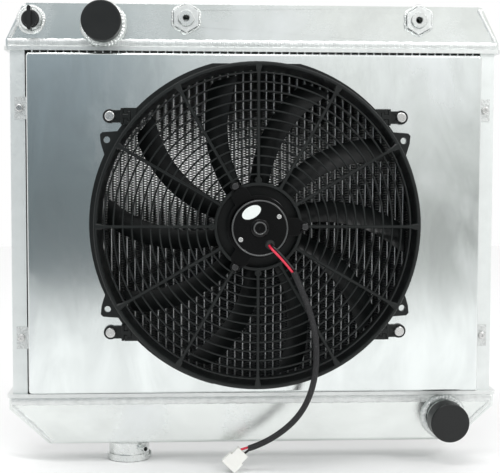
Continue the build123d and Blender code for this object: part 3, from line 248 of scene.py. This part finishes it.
def rough_metal(name, tone, rough, scale, strength, metallic=1.0, patchy=0.72):
    """Frosted, brazed or welded metal."""
    material, tree, shader = new_material(name, rough, metallic=metallic)
    plain = coordinates(tree)
    grain = noise(tree, plain, scale, 6, 0.65)
    clouds = noise(tree, plain, scale * 0.12, 4)
    dark = tuple(c * patchy for c in tone)
    cloudy = ramp(tree, clouds, [(0.35, 0.0), (0.7, 1.0)])
    tree.links.new(mix(tree, cloudy, tone, dark), shader.inputs["Base Color"])
    grainy = ramp(tree, grain, [(0.3, rough * 0.8), (0.75, min(1.0, rough * 1.3))])
    tree.links.new(grainy, shader.inputs["Roughness"])
    bump(tree, shader, grain, strength, 0.0006)
    return material


def moulded(name, colour, rough, scale=900, strength=0.15, coat=0.0, specular=0.5, worn=1.6):
    """Plastic, rubber or paint: slight tone changes and a fine grain."""
    material, tree, shader = new_material(name, rough, coat=coat, specular=specular)
    plain = coordinates(tree)
    grain = noise(tree, plain, scale, 3)
    clouds = noise(tree, plain, 22, 4, 0.6, 0.3)
    lighter = tuple(min(1.0, c * worn) for c in colour)
    cloudy = ramp(tree, clouds, [(0.4, 0.0), (0.75, 1.0)])
    tree.links.new(mix(tree, cloudy, colour, lighter), shader.inputs["Base Color"])
    uneven = ramp(tree, clouds, [(0.3, rough * 0.85), (0.7, min(1.0, rough * 1.2))])
    tree.links.new(uneven, shader.inputs["Roughness"])
    bump(tree, shader, grain, strength, 0.0003)
    return material


def braided(name):
    """Black braided sleeve with a few pale threads."""
    material, tree, shader = new_material(name, 0.6, specular=0.4)
    plain = coordinates(tree)
    wave = tree.nodes.new("ShaderNodeTexWave")
    wave.inputs["Scale"].default_value = 330
    wave.inputs["Distortion"].default_value = 1.5
    tree.links.new(plain, wave.inputs["Vector"])
    fleck = noise(tree, plain, 1500, 2)
    flecks = ramp(tree, fleck, [(0.62, 0.0), (0.70, 1.0)])
    threads = mix(tree, flecks, (0.012, 0.012, 0.013), (0.16, 0.16, 0.17))
    tree.links.new(threads, shader.inputs["Base Color"])
    bump(tree, shader, wave.outputs["Fac"], 0.5, 0.0006)
    return material


FINISH = {
    "tank": sheet_metal("tank_sheet", (0.80, 0.83, 0.81), 0.22, (1.5, 40, 40), (1, 1, 1), 0.10),
    "shroud": sheet_metal("shroud_sheet", (0.80, 0.84, 0.83), 0.15, (40, 40, 1.2), (1.8, 1, 0.7), 0.14, True),
    "header": rough_metal("header_metal", (0.80, 0.82, 0.81), 0.40, 350, 0.20, patchy=0.92),
    "channel": rough_metal("channel_metal", (0.84, 0.87, 0.86), 0.45, 300, 0.08, patchy=0.94),
    "core": rough_metal("core_metal", (0.86, 0.87, 0.87), 0.40, 600, 0.2),
    # painted shade: the fins get a dark grey, far darker than the tubes' aluminium, for the shade deep
    # between the tubes
    "fin": rough_metal("shaded_fin_metal", (0.17, 0.175, 0.175), 0.38, 600, 0.2),
    "weld": rough_metal("weld_metal", (0.80, 0.82, 0.81), 0.36, 900, 0.55, patchy=0.85),
    "turned": rough_metal("turned_metal", (0.80, 0.82, 0.81), 0.28, 250, 0.08, patchy=0.9),
    "steel": rough_metal("zinc_steel", (0.72, 0.72, 0.71), 0.26, 400, 0.12),
    "shaft": rough_metal("ground_steel", (0.60, 0.60, 0.60), 0.2, 500, 0.05),
    "iron": rough_metal("laminated_iron", (0.30, 0.30, 0.31), 0.5, 500, 0.3),
    "copper": rough_metal("copper_winding", (0.72, 0.36, 0.20), 0.35, 700, 0.4),
    "bronze": rough_metal("sintered_bronze", (0.55, 0.38, 0.20), 0.4, 700, 0.2),
    "plastic": moulded("fan_plastic", (0.0045, 0.0060, 0.0058), 0.36, 700, 0.10, specular=0.34),
    "blade": moulded("blade_plastic", (0.0035, 0.0045, 0.0045), 0.36, 500, 0.08, specular=0.26),
    "cap": moulded("cap_plastic", (0.0050, 0.0058, 0.0058), 0.33, 600, 0.06, specular=0.4),
    "petcock": moulded("petcock_plastic", (0.006, 0.006, 0.006), 0.30, 600, 0.10),
    "motor": moulded("motor_paint", (0.0012, 0.0012, 0.0014), 0.14, 250, 0.015, specular=0.22),
    # painted highlight: a paint much lighter than the motor's, for the thin rings laid on the end cap's rim
    # and nose
    "edge_highlight_paint": moulded("painted_highlight_bead", (0.035, 0.037, 0.037), 0.22, 500, 0.03, specular=1.0),
    "black_screw": moulded("black_screw_coat", (0.010, 0.010, 0.011), 0.22, 500, 0.1, specular=0.8),
    "rubber": moulded("rubber", (0.012, 0.012, 0.012), 0.5, 900, 0.2),
    "carbon": moulded("carbon", (0.03, 0.03, 0.03), 0.5, 900, 0.2),
    "board": moulded("brown_board", (0.20, 0.10, 0.04), 0.5, 900, 0.2),
    "magnet": moulded("ferrite", (0.04, 0.04, 0.045), 0.5, 900, 0.2),
    "label": moulded("blank_label", (0.74, 0.78, 0.76), 0.35, 800, 0.05, worn=1.05),
    "red": moulded("red_insulation", (0.62, 0.025, 0.06), 0.25, 900, 0.05, worn=1.2),
    "black": moulded("black_insulation", (0.006, 0.006, 0.007), 0.25, 900, 0.05),
    "nylon": moulded("white_nylon", (0.84, 0.84, 0.80), 0.34, 700, 0.10, worn=1.08),
    "braid": braided("braided_sleeve"),
}

NODE_FINISH = {
    "cooler_tank": "tank",
    "cooler_tank_ends": "tank",
    "filler_tank": "tank",
    "filler_tank_ends": "tank",
    "cooler_header": "header",
    "filler_header": "header",
    "side_channel_left": "channel",
    "side_channel_right": "channel",
    "core_tubes": "core",
    "core_fins": "fin",
    "outlet_stub": "turned",
    "inlet_stub": "turned",
    "outlet_cap": "cap",
    "inlet_cap": "cap",
    "drain_bung": "turned",
    "drain_plug": "petcock",
    "drain_seal": "rubber",
    "cooler_ports": "turned",
    "cooler_port_nuts": "weld",
    "oil_cooler": "turned",
    "filler_neck": "turned",
    "overflow_tube": "turned",
    "shroud": "shroud",
    "shroud_bolts": "steel",
    "shroud_nuts": "steel",
    "fan_housing": "plastic",
    "fan_guard": "plastic",
    "mounting_feet": "plastic",
    "foot_screws": "steel",
    "foot_nuts": "steel",
    "motor_bracket": "motor",
    "bracket_screws": "black_screw",
    "motor_can": "motor",
    "motor_end_cap": "motor",
    "motor_magnets": "magnet",
    "armature": "iron",
    "armature_windings": "copper",
    "commutator": "copper",
    "brush_holder": "board",
    "brushes": "carbon",
    "brush_springs": "steel",
    "motor_shaft": "shaft",
    "front_bearing": "bronze",
    "rear_bearing": "bronze",
    "end_cap_screws": "steel",
    "motor_label": "label",
    "cable_grommet": "rubber",
    "fan_rotor": "blade",
    "rotor_nut": "steel",
    "red_wire_end": "red",
    "black_wire_end": "black",
    "connector": "nylon",
    "terminals": "steel",
}


def paint(piece, finish):
    piece.data.materials.clear()
    piece.data.materials.append(FINISH[finish])


for node, finish in NODE_FINISH.items():
    paint(nodes[node], finish)
paint(sleeve, "braid")
paint(wires["red"], "red")
paint(wires["black"], "black")


# ---- Room: pale floor, white surroundings, soft lights, and what the sheet mirrors ----
def stage_material(name, colour, strength=0.0):
    material, tree, shader = new_material(name, 0.8)
    shader.inputs["Base Color"].default_value = (*colour, 1)
    if strength:
        shader.inputs["Emission Color"].default_value = (*colour, 1)
        shader.inputs["Emission Strength"].default_value = strength
    return material


def stage_plane(name, size, place, turn, material, seen=True):
    bpy.ops.mesh.primitive_plane_add(size=1, location=place, rotation=turn)
    plane = bpy.context.object
    plane.name = name
    plane.scale = (*size, 1)
    plane.data.materials.append(material)
    plane.visible_camera = seen
    return plane


def soft_light(name, power, size, place, target):
    data = bpy.data.lights.new(name, "AREA")
    data.shape = "RECTANGLE"
    data.size, data.size_y = size
    data.energy = power
    light = bpy.data.objects.new(name, data)
    scene.collection.objects.link(light)
    light.location = place
    light.rotation_euler = (Vector(target) - Vector(place)).to_track_quat("-Z", "Y").to_euler()


world = bpy.data.worlds.new("room")
scene.world = world
world.use_nodes = True
world.node_tree.nodes["Background"].inputs["Color"].default_value = (1.0, 1.0, 1.0, 1)
world.node_tree.nodes["Background"].inputs["Strength"].default_value = 1.0
scene.view_settings.view_transform = "Standard"

FLOOR_SIDE = 8
FLOOR_GAP = 0.0005
stage_plane(
    "floor",
    (FLOOR_SIDE, FLOOR_SIDE),
    (0, 0, FLOOR_Z - FLOOR_GAP),
    (0, 0, 0),
    stage_material("floor_paper", (0.93, 0.93, 0.93)),
)


def glow_card(name, y, x_span, z_span):
    """An upright card in front of the fan: dark at the left, white at the right, with a dusky band."""
    material = bpy.data.materials.new(name)
    material.use_nodes = True
    tree = material.node_tree
    tree.nodes.clear()
    place = tree.nodes.new("ShaderNodeTexCoord")
    split = tree.nodes.new("ShaderNodeSeparateXYZ")
    tree.links.new(place.outputs["Object"], split.inputs["Vector"])

    def span(output, low, high):
        node = tree.nodes.new("ShaderNodeMapRange")
        node.inputs["From Min"].default_value = low
        node.inputs["From Max"].default_value = high
        tree.links.new(split.outputs[output], node.inputs["Value"])
        return node.outputs["Result"]

    height = span("Z", -0.7, 1.3)
    left = ramp(
        tree,
        height,
        [
            (0.00, (0.14, 0.165, 0.18)),
            (0.20, (0.16, 0.19, 0.205)),
            (0.40, (0.29, 0.345, 0.385)),
            (0.50, (0.50, 0.56, 0.59)),
            (0.70, (0.90, 0.92, 0.94)),
            (1.00, (1.00, 1.00, 1.00)),
        ],
    )
    right = ramp(
        tree,
        height,
        [
            (0.00, (0.62, 0.63, 0.62)),
            (0.08, (0.50, 0.51, 0.50)),
            (0.15, (0.42, 0.43, 0.42)),
            (0.27, (0.72, 0.73, 0.72)),
            (0.42, (1.02, 1.03, 1.02)),
            (1.00, (1.10, 1.10, 1.10)),
        ],
    )
    side = ramp(tree, span("X", -0.35, 0.25), [(0.0, 0.0), (1.0, 1.0)])
    glow = tree.nodes.new("ShaderNodeEmission")
    tree.links.new(mix(tree, side, left, right), glow.inputs["Color"])
    out = tree.nodes.new("ShaderNodeOutputMaterial")
    tree.links.new(glow.outputs["Emission"], out.inputs["Surface"])
    data = bpy.data.meshes.new(name)
    near, far = x_span
    low, high = z_span
    corners = [(near, y, low), (far, y, low), (far, y, high), (near, y, high)]
    data.from_pydata(corners, [], [(0, 1, 2, 3)])
    data.materials.append(material)
    card = bpy.data.objects.new(name, data)
    scene.collection.objects.link(card)
    card.visible_camera = False


LIGHT_TARGET = (0, 0, -0.3)
glow_card("studio_card", -2.1, (-3.2, 3.2), (FLOOR_Z, 1.6))
soft_light("key", 16, (0.5, 0.5), (1.4, -1.95, 1.3), LIGHT_TARGET)
soft_light("top", 14, (1.4, 0.35), (-0.5, -1.1, 1.5), LIGHT_TARGET)


# ---- Building meshes ----
def add_mesh(name, verts, faces, finish, body="radiator", sharp=35):
    data = bpy.data.meshes.new(name)
    data.from_pydata([tuple(v) for v in verts], [], faces)
    work = bmesh.new()
    work.from_mesh(data)
    bmesh.ops.remove_doubles(work, verts=work.verts, dist=1e-7)
    bmesh.ops.recalc_face_normals(work, faces=work.faces)
    work.to_mesh(data)
    work.free()
    for face in data.polygons:
        face.use_smooth = True
    data.set_sharp_from_angle(angle=math.radians(sharp))
    data.materials.append(FINISH[finish])
    piece = bpy.data.objects.new(name, data)
    scene.collection.objects.link(piece)
    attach(piece, body)
    return piece


def rows_to_faces(start, rows, columns, wrap_rows=False, wrap_columns=False):
    """Faces of a grid of points laid out row by row."""
    faces = []
    for i in range(rows if wrap_rows else rows - 1):
        for j in range(columns if wrap_columns else columns - 1):
            a = start + i * columns + j
            b = start + i * columns + (j + 1) % columns
            c = start + (i + 1) % rows * columns + (j + 1) % columns
            d = start + (i + 1) % rows * columns + j
            faces.append((a, b, c, d))
    return faces


def turned(verts, faces, profile, x, z, segments=96):
    """Adds a ring turned about a front-to-back axis; the profile is a closed (radius, depth) loop."""
    start = len(verts)
    for i in range(segments):
        turn = 2 * math.pi * i / segments
        for radius, depth in profile:
            verts.append((x + radius * math.cos(turn), -depth, z + radius * math.sin(turn)))
    faces += rows_to_faces(start, segments, len(profile), True, True)


def soften(node, width, angle=40):
    """Breaks a CAD piece's sharp edges, as folding, casting or moulding does."""
    piece = nodes[node]
    piece.modifiers.new("weld", "WELD").merge_threshold = 1e-5
    bevel = piece.modifiers.new("bevel", "BEVEL")
    bevel.width = width
    bevel.segments = 2
    bevel.limit_method = "ANGLE"
    bevel.angle_limit = math.radians(angle)
    piece.modifiers.new("normals", "WEIGHTED_NORMAL").keep_sharp = True


def resampled(points, step, closed):
    """Points at even steps along a line of straight runs."""
    run = [Vector(p) for p in points] + ([Vector(points[0])] if closed else [])
    lengths = [(b - a).length for a, b in zip(run, run[1:])]
    count = max(4, int(sum(lengths) / step))
    out = []
    i, done = 0, 0.0
    for k in range(count if closed else count + 1):
        want = sum(lengths) * k / count
        while i < len(lengths) - 1 and want > done + lengths[i]:
            done += lengths[i]
            i += 1
        out.append(run[i].lerp(run[i + 1], min(1.0, (want - done) / lengths[i])))
    return out


BEAD_ROWS = 9
BEAD_SINK = 0.0002
SLOW_WAVE = 310  # how fast a bead's width wanders along it, in radians a metre
QUICK_WAVE = 1130


def weld_bead(
    name,
    points,
    width,
    height,
    outward,
    ripple=0.0022,
    closed=False,
    uneven=0.08,
    seed=0.0,
    body="radiator",
):
    """A welded seam: overlapping ripples along a line."""
    line = resampled(points, ripple / 4, closed)
    verts = []
    along = 0.0
    for k, here in enumerate(line):
        ahead = line[(k + 1) % len(line)] if closed or k + 1 < len(line) else here
        behind = line[k - 1] if closed or k else here
        way = (ahead - behind).normalized()
        across = way.cross(outward).normalized()
        slow = math.sin(along * SLOW_WAVE + seed)
        quick = math.sin(along * QUICK_WAVE + 2.1 * seed)
        wide = 1 + uneven * (slow + 0.7 * quick)
        for j in range(BEAD_ROWS):
            turn = math.pi * j / (BEAD_ROWS - 1)
            phase = (along - 0.30 * width * math.sin(turn)) / ripple
            drift = 0.4 * math.sin(5 * along * SLOW_WAVE + seed)
            crest = 0.74 + 0.30 * abs(math.cos(math.pi * phase + drift))
            lift = height * math.sin(turn) * crest - BEAD_SINK
            verts.append(here + across * (0.5 * width * wide * math.cos(turn)) + outward * lift)
        if k + 1 < len(line):
            along += (line[k + 1] - here).length
    faces = rows_to_faces(0, len(line), BEAD_ROWS, closed, False)
    return add_mesh(name, verts, faces, "weld", body, sharp=60)


def circle_points(x, y, z, radius, count=72, corners=0, lift=0.0):
    """A circle facing the fan side; with corners it bulges there, as a bead round a nut does."""
    out = []
    for k in range(count):
        turn = 2 * math.pi * k / count
        reach = radius
        if corners:
            reach += lift * abs(math.cos(turn * corners / 2 + math.pi / 2 * (corners % 4 == 2)))
        out.append((x + reach * math.cos(turn), y, z + reach * math.sin(turn)))
    return out


# ---- Fins: the real close corrugation between the tubes ----
def make_fins():
    gap = TUBE_PITCH - TUBE_T
    fold = 0.00165
    folds = int(CORE_H / fold)
    louvre = (0.0, 0.00064, -0.00060, 0.00062, -0.00058, 0.0)
    verts, faces = [], []
    columns = len(louvre)
    for strip in range(TUBE_COUNT + 1):
        middle = (strip - TUBE_COUNT / 2) * TUBE_PITCH
        start = len(verts)
        for k in range(folds + 1):
            side = -1 if k % 2 else 1
            x = middle + side * (gap / 2 - 0.0001)
            z = CORE_TOP - k * CORE_H / folds
            for j, shift in enumerate(louvre):
                y = -CORE_D / 2 + CORE_D * j / (columns - 1)
                tucked = min(max(z + shift, CORE_TOP - CORE_H + 0.0002), CORE_TOP - 0.0002)
                verts.append((x, y, tucked))
        faces += rows_to_faces(start, folds + 1, columns)
    fins = add_mesh("fins", verts, faces, "fin", "radiator", sharp=20)
    skin = fins.modifiers.new("foil", "SOLIDIFY")
    skin.thickness = 0.00022
    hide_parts("core_fins")


make_fins()


# ---- Guard: rounded rings, ribbed spokes, rim and collar ----
def bar_profile(middle, width, back, front, ease=0.0007):
    """A rounded bar's section for turning, about a middle radius."""
    half = width / 2
    return [
        (middle - half, back),
        (middle + half, back),
        (middle + half, front - ease),
        (middle + half - ease * 0.6, front - ease * 0.25),
        (middle, front),
        (middle - half + ease * 0.6, front - ease * 0.25),
        (middle - half, front - ease),
    ]


GUARD_RINGS = 12
OUTER_RING_R = 0.192
RING_PITCH = 0.01148
RING_W = 0.0023
RIM_R = 0.2030
COLLAR_R = 0.05325
BAND_W = 0.0045  # of the rim and the collar
COLLAR_BACK = 0.100
SPOKES = 12
PAD_RING_R = 0.0582  # where the collar's pads and pegs stand
PAD_TURNS = (90, 180, 270)
PAD_R = 0.0044
PAD_HOLE_R = 0.0017
PEG_TURNS = (0, 120, 240)


def make_guard():
    verts, faces = [], []
    for k in range(GUARD_RINGS):
        ring = bar_profile(OUTER_RING_R - k * RING_PITCH, RING_W, GUARD_BACK, GUARD_FRONT - 0.0008)
        turned(verts, faces, ring, 0, FAN_Z, 160)
    rim = bar_profile(RIM_R, BAND_W, GUARD_BACK - 0.0005, GUARD_FRONT, 0.0012)
    turned(verts, faces, rim, 0, FAN_Z, 180)
    collar = bar_profile(COLLAR_R, BAND_W, COLLAR_BACK, GUARD_FRONT, 0.0010)
    turned(verts, faces, collar, 0, FAN_Z, 120)
    stations = [
        (0.054, 0.0030),
        (0.060, 0.0021),
        (0.186, 0.0021),
        (0.194, 0.0027),
        (0.2035, 0.0048),
    ]
    for k in range(SPOKES):
        turn = math.radians(30 * k)
        out = Vector((math.cos(turn), 0, math.sin(turn)))
        side = Vector((-math.sin(turn), 0, math.cos(turn)))
        start = len(verts)
        for reach, half in stations:
            for across, depth in (
                (-half * 0.55, GUARD_BACK - 0.004),
                (-half * 0.75, GUARD_BACK),
                (-half, GUARD_FRONT - 0.0010),
                (-half * 0.6, GUARD_FRONT + 0.0001),
                (half * 0.6, GUARD_FRONT + 0.0001),
                (half, GUARD_FRONT - 0.0010),
                (half * 0.75, GUARD_BACK),
                (half * 0.55, GUARD_BACK - 0.004),
            ):
                place = out * reach + side * across
                verts.append((place.x, -depth, FAN_Z + place.z))
        faces += rows_to_faces(start, len(stations), 8, False, True)
        faces.append(tuple(start + j for j in range(8)))
        faces.append(tuple(start + 8 * (len(stations) - 1) + j for j in range(8)))
    pad = bar_profile((PAD_R + PAD_HOLE_R) / 2, PAD_R - PAD_HOLE_R, 0.101, GUARD_FRONT, 0.0006)
    peg = bar_profile(0.00405, 0.0038, COLLAR_BACK, GUARD_FRONT - 0.0001, 0.0005)
    for turns, profile in ((PAD_TURNS, pad), (PEG_TURNS, peg)):
        for turn in turns:
            x = PAD_RING_R * math.cos(math.radians(turn))
            z = FAN_Z + PAD_RING_R * math.sin(math.radians(turn))
            turned(verts, faces, profile, x, z, 32)
    guard = add_mesh("guard", verts, faces, "plastic", "radiator")
    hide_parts("fan_guard")


make_guard()


# ---- Rotor: hub and curved blades with a rounded edge ----
def make_rotor():
    verts, faces = [], []
    hub = [
        (0.004, 0.0685), (0.009, 0.0685), (0.009, 0.071), (0.052, 0.071), (0.054, 0.073), (0.054, 0.0955),
        (0.0525, 0.097), (0.0375, 0.097), (0.0375, 0.094), (0.051, 0.094), (0.051, 0.074), (0.009, 0.074),
        (0.009, 0.0775), (0.004, 0.0775),
    ]
    turned(verts, faces, hub, 0, FAN_Z, 128)
    stations, chord_steps = 20, 12
    for blade in range(10):
        start = len(verts)
        for i in range(stations + 1):
            share = i / stations
            reach = 0.0525 + 0.1375 * share
            turn = math.radians(66.5 + 21 * (1 - share**1.3) + 36 * blade)
            pitch = math.radians(42 - 15 * share)
            chord = (0.030 + 0.010 * share) * (1 - 0.16 * max(0.0, (share - 0.93) / 0.07) ** 2)
            out = Vector((math.cos(turn), 0, math.sin(turn)))
            around = Vector((-math.sin(turn), 0, math.cos(turn)))
            chord_way = around * math.cos(pitch) + Vector((0, 1, 0)) * math.sin(pitch)
            normal = out.cross(chord_way)
            middle = Vector((0, -0.084, FAN_Z)) + out * reach
            ring = []
            for j in range(chord_steps + 1):
                u = j / chord_steps
                thick = 0.0013 * (1 - abs(2 * u - 1) ** 3) * (1 - 0.35 * share) + 0.00025
                camber = 0.0012 * (1 - (2 * u - 1) ** 2)
                ring.append((u - 0.5, camber - 0.0006, thick))
            for u, camber, thick in ring:
                verts.append(middle + chord_way * (u * chord) + normal * (camber + thick))
            for u, camber, thick in reversed(ring):
                verts.append(middle + chord_way * (u * chord) + normal * (camber - thick))
        columns = 2 * (chord_steps + 1)
        faces += rows_to_faces(start, stations + 1, columns, False, True)
        faces.append(tuple(start + stations * columns + j for j in range(columns)))
        faces.append(tuple(start + j for j in range(columns)))
    rotor = add_mesh("rotor", verts, faces, "blade", "fan")
    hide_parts("fan_rotor")


make_rotor()


# ---- Motor's end cap: rolled rim, stepped nose and open mouth, with painted highlight rings on rim and nose ----
def make_end_cap():
    verts, faces = [], []
    rim = [
        (0.0326, CAP_FACE - 0.0115),
        (0.0348, CAP_FACE - 0.0115),
        (0.0348, CAP_FACE - 0.0007),
        (0.03455, CAP_FACE + 0.0001),
        (0.0340, CAP_FACE + 0.0006),
        (0.0334, CAP_FACE + 0.0007),
        (0.0328, CAP_FACE + 0.0005),
        (0.0324, CAP_FACE),
        (0.0117, CAP_FACE),
        (0.0115, CAP_FACE + 0.0004),
        (0.0115, CAP_FACE + 0.0016),
        (0.0111, CAP_FACE + 0.0023),
        (0.0103, CAP_FACE + 0.0027),
        (0.0086, CAP_FACE + 0.0029),
        (0.0082, CAP_FACE + 0.0036),
        (0.0077, CAP_FACE + 0.0040),
        (0.0064, CAP_FACE + 0.0040),
        (0.0058, CAP_FACE + 0.0036),
        (0.0058, CAP_FACE + 0.0028),
        (0.0002, CAP_FACE + 0.0028),
        (0.0002, CAP_FACE + 0.0024),
        (0.0074, CAP_FACE + 0.0024),
        (0.0079, CAP_FACE - 0.0018),
        (0.0326, CAP_FACE - 0.0018),
    ]
    turned(verts, faces, rim, 0, FAN_Z, 128)
    cap = add_mesh("end_cap", verts, faces, "motor", "radiator", sharp=50)
    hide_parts("motor_end_cap")
    # Painted highlights: thin beads in the lighter edge paint, laid over the rim and nose so they show as
    # bright lines
    for name, middle, half, depth in (
        ("rim_highlight_ring", 0.0337, 0.0009, 0.0006),
        ("nose_highlight_ring", 0.0073, 0.0008, 0.0039),
    ):
        verts, faces = [], []
        foot = CAP_FACE + depth - 0.0004
        bead = [(middle - half, foot), (middle + half, foot)]
        for k in range(7):
            turn = math.pi * k / 6
            bead.append((middle + half * math.cos(turn), CAP_FACE + depth + 0.0004 * math.sin(turn)))
        turned(verts, faces, bead, 0, FAN_Z, 128)
        add_mesh(name, verts, faces, "edge_highlight_paint", "radiator", sharp=50)


make_end_cap()

# ---- Broken edges on the CAD pieces ----
for node, width in (
    ("shroud", 0.0004),
    ("cooler_tank", 0.0004),
    ("filler_tank", 0.0004),
    ("cooler_tank_ends", 0.0006),
    ("filler_tank_ends", 0.0006),
    ("cooler_header", 0.0010),
    ("filler_header", 0.0010),
    ("fan_housing", 0.0006),
    ("mounting_feet", 0.0008),
    ("motor_bracket", 0.0004),
    ("motor_can", 0.0004),
    ("cooler_port_nuts", 0.0008),
    ("filler_neck", 0.0005),
    ("outlet_cap", 0.0004),
    ("inlet_cap", 0.0004),
    ("drain_plug", 0.0006),
    ("shroud_bolts", 0.0003),
):
    soften(node, width)

# ---- Welded seams ----
TOWARDS_FAN = Vector((0, -1, 0))
AWAY = Vector((0, 1, 0))
SEAM_Y = TANK_FRONT + 0.0002
NECK_WELD_R = 0.0275
NECK_WELD_Z = -0.5765
NECK_WELD_POINTS = 60
for side, y, outward in (("front", -SEAM_Y, TOWARDS_FAN), ("rear", SEAM_Y, AWAY)):
    for tank, z in (("cooler", -0.0506), ("filler", -0.5194)):
        weld_bead(
            f"{tank}_header_weld_{side}",
            [(-0.3195, y, z), (0.3195, y, z)],
            0.0102,
            0.0014,
            outward,
            ripple=0.0024,
            uneven=0.07,
            seed=3.0 + z,
        )
    for hand in (-1, 1):
        weld_bead(
            f"cooler_end_weld_{side}_{hand + 1}",
            [(hand * 0.3170, y, -0.0455), (hand * 0.2945, y, -0.0035)],
            0.0045,
            0.0010,
            outward,
            ripple=0.0025,
            uneven=0.15,
            seed=hand,
        )
        weld_bead(
            f"filler_end_weld_{side}_{hand + 1}",
            [(hand * 0.3165, y, -0.5255), (hand * 0.2660, y, -0.5725)],
            0.0045,
            0.0010,
            outward,
            ripple=0.0025,
            uneven=0.15,
            seed=2.0 * hand,
        )

for name, (x, z) in STUBS.items():
    weld_bead(
        f"{name}_weld",
        circle_points(x, -TANK_FRONT, z, 0.0262),
        0.0085,
        0.0048,
        TOWARDS_FAN,
        ripple=0.0044,
        closed=True,
        uneven=0.10,
        seed=x * 40,
    )
weld_bead(
    "bung_weld",
    circle_points(DRAIN[0], -TANK_FRONT, DRAIN[1], 0.0163),
    0.0052,
    0.0026,
    TOWARDS_FAN,
    ripple=0.0030,
    closed=True,
    uneven=0.10,
)
for k, x in enumerate(PORTS_X):
    weld_bead(
        f"port_weld_{k}",
        circle_points(x, -TANK_FRONT, PORT_Z, 0.0170, corners=6, lift=0.0022),
        0.0036,
        0.0030,
        TOWARDS_FAN,
        ripple=0.0034,
        closed=True,
        uneven=0.16,
        seed=5.0 * k,
    )
neck_turns = [2 * math.pi * k / NECK_WELD_POINTS for k in range(NECK_WELD_POINTS)]
neck_ring = [
    (NECK_X + NECK_WELD_R * math.cos(turn), NECK_WELD_R * math.sin(turn), NECK_WELD_Z)
    for turn in neck_turns
]
weld_bead(
    "neck_weld",
    neck_ring,
    0.0055,
    0.0028,
    Vector((0, 0, -1)),
    ripple=0.0030,
    closed=True,
    uneven=0.12,
)
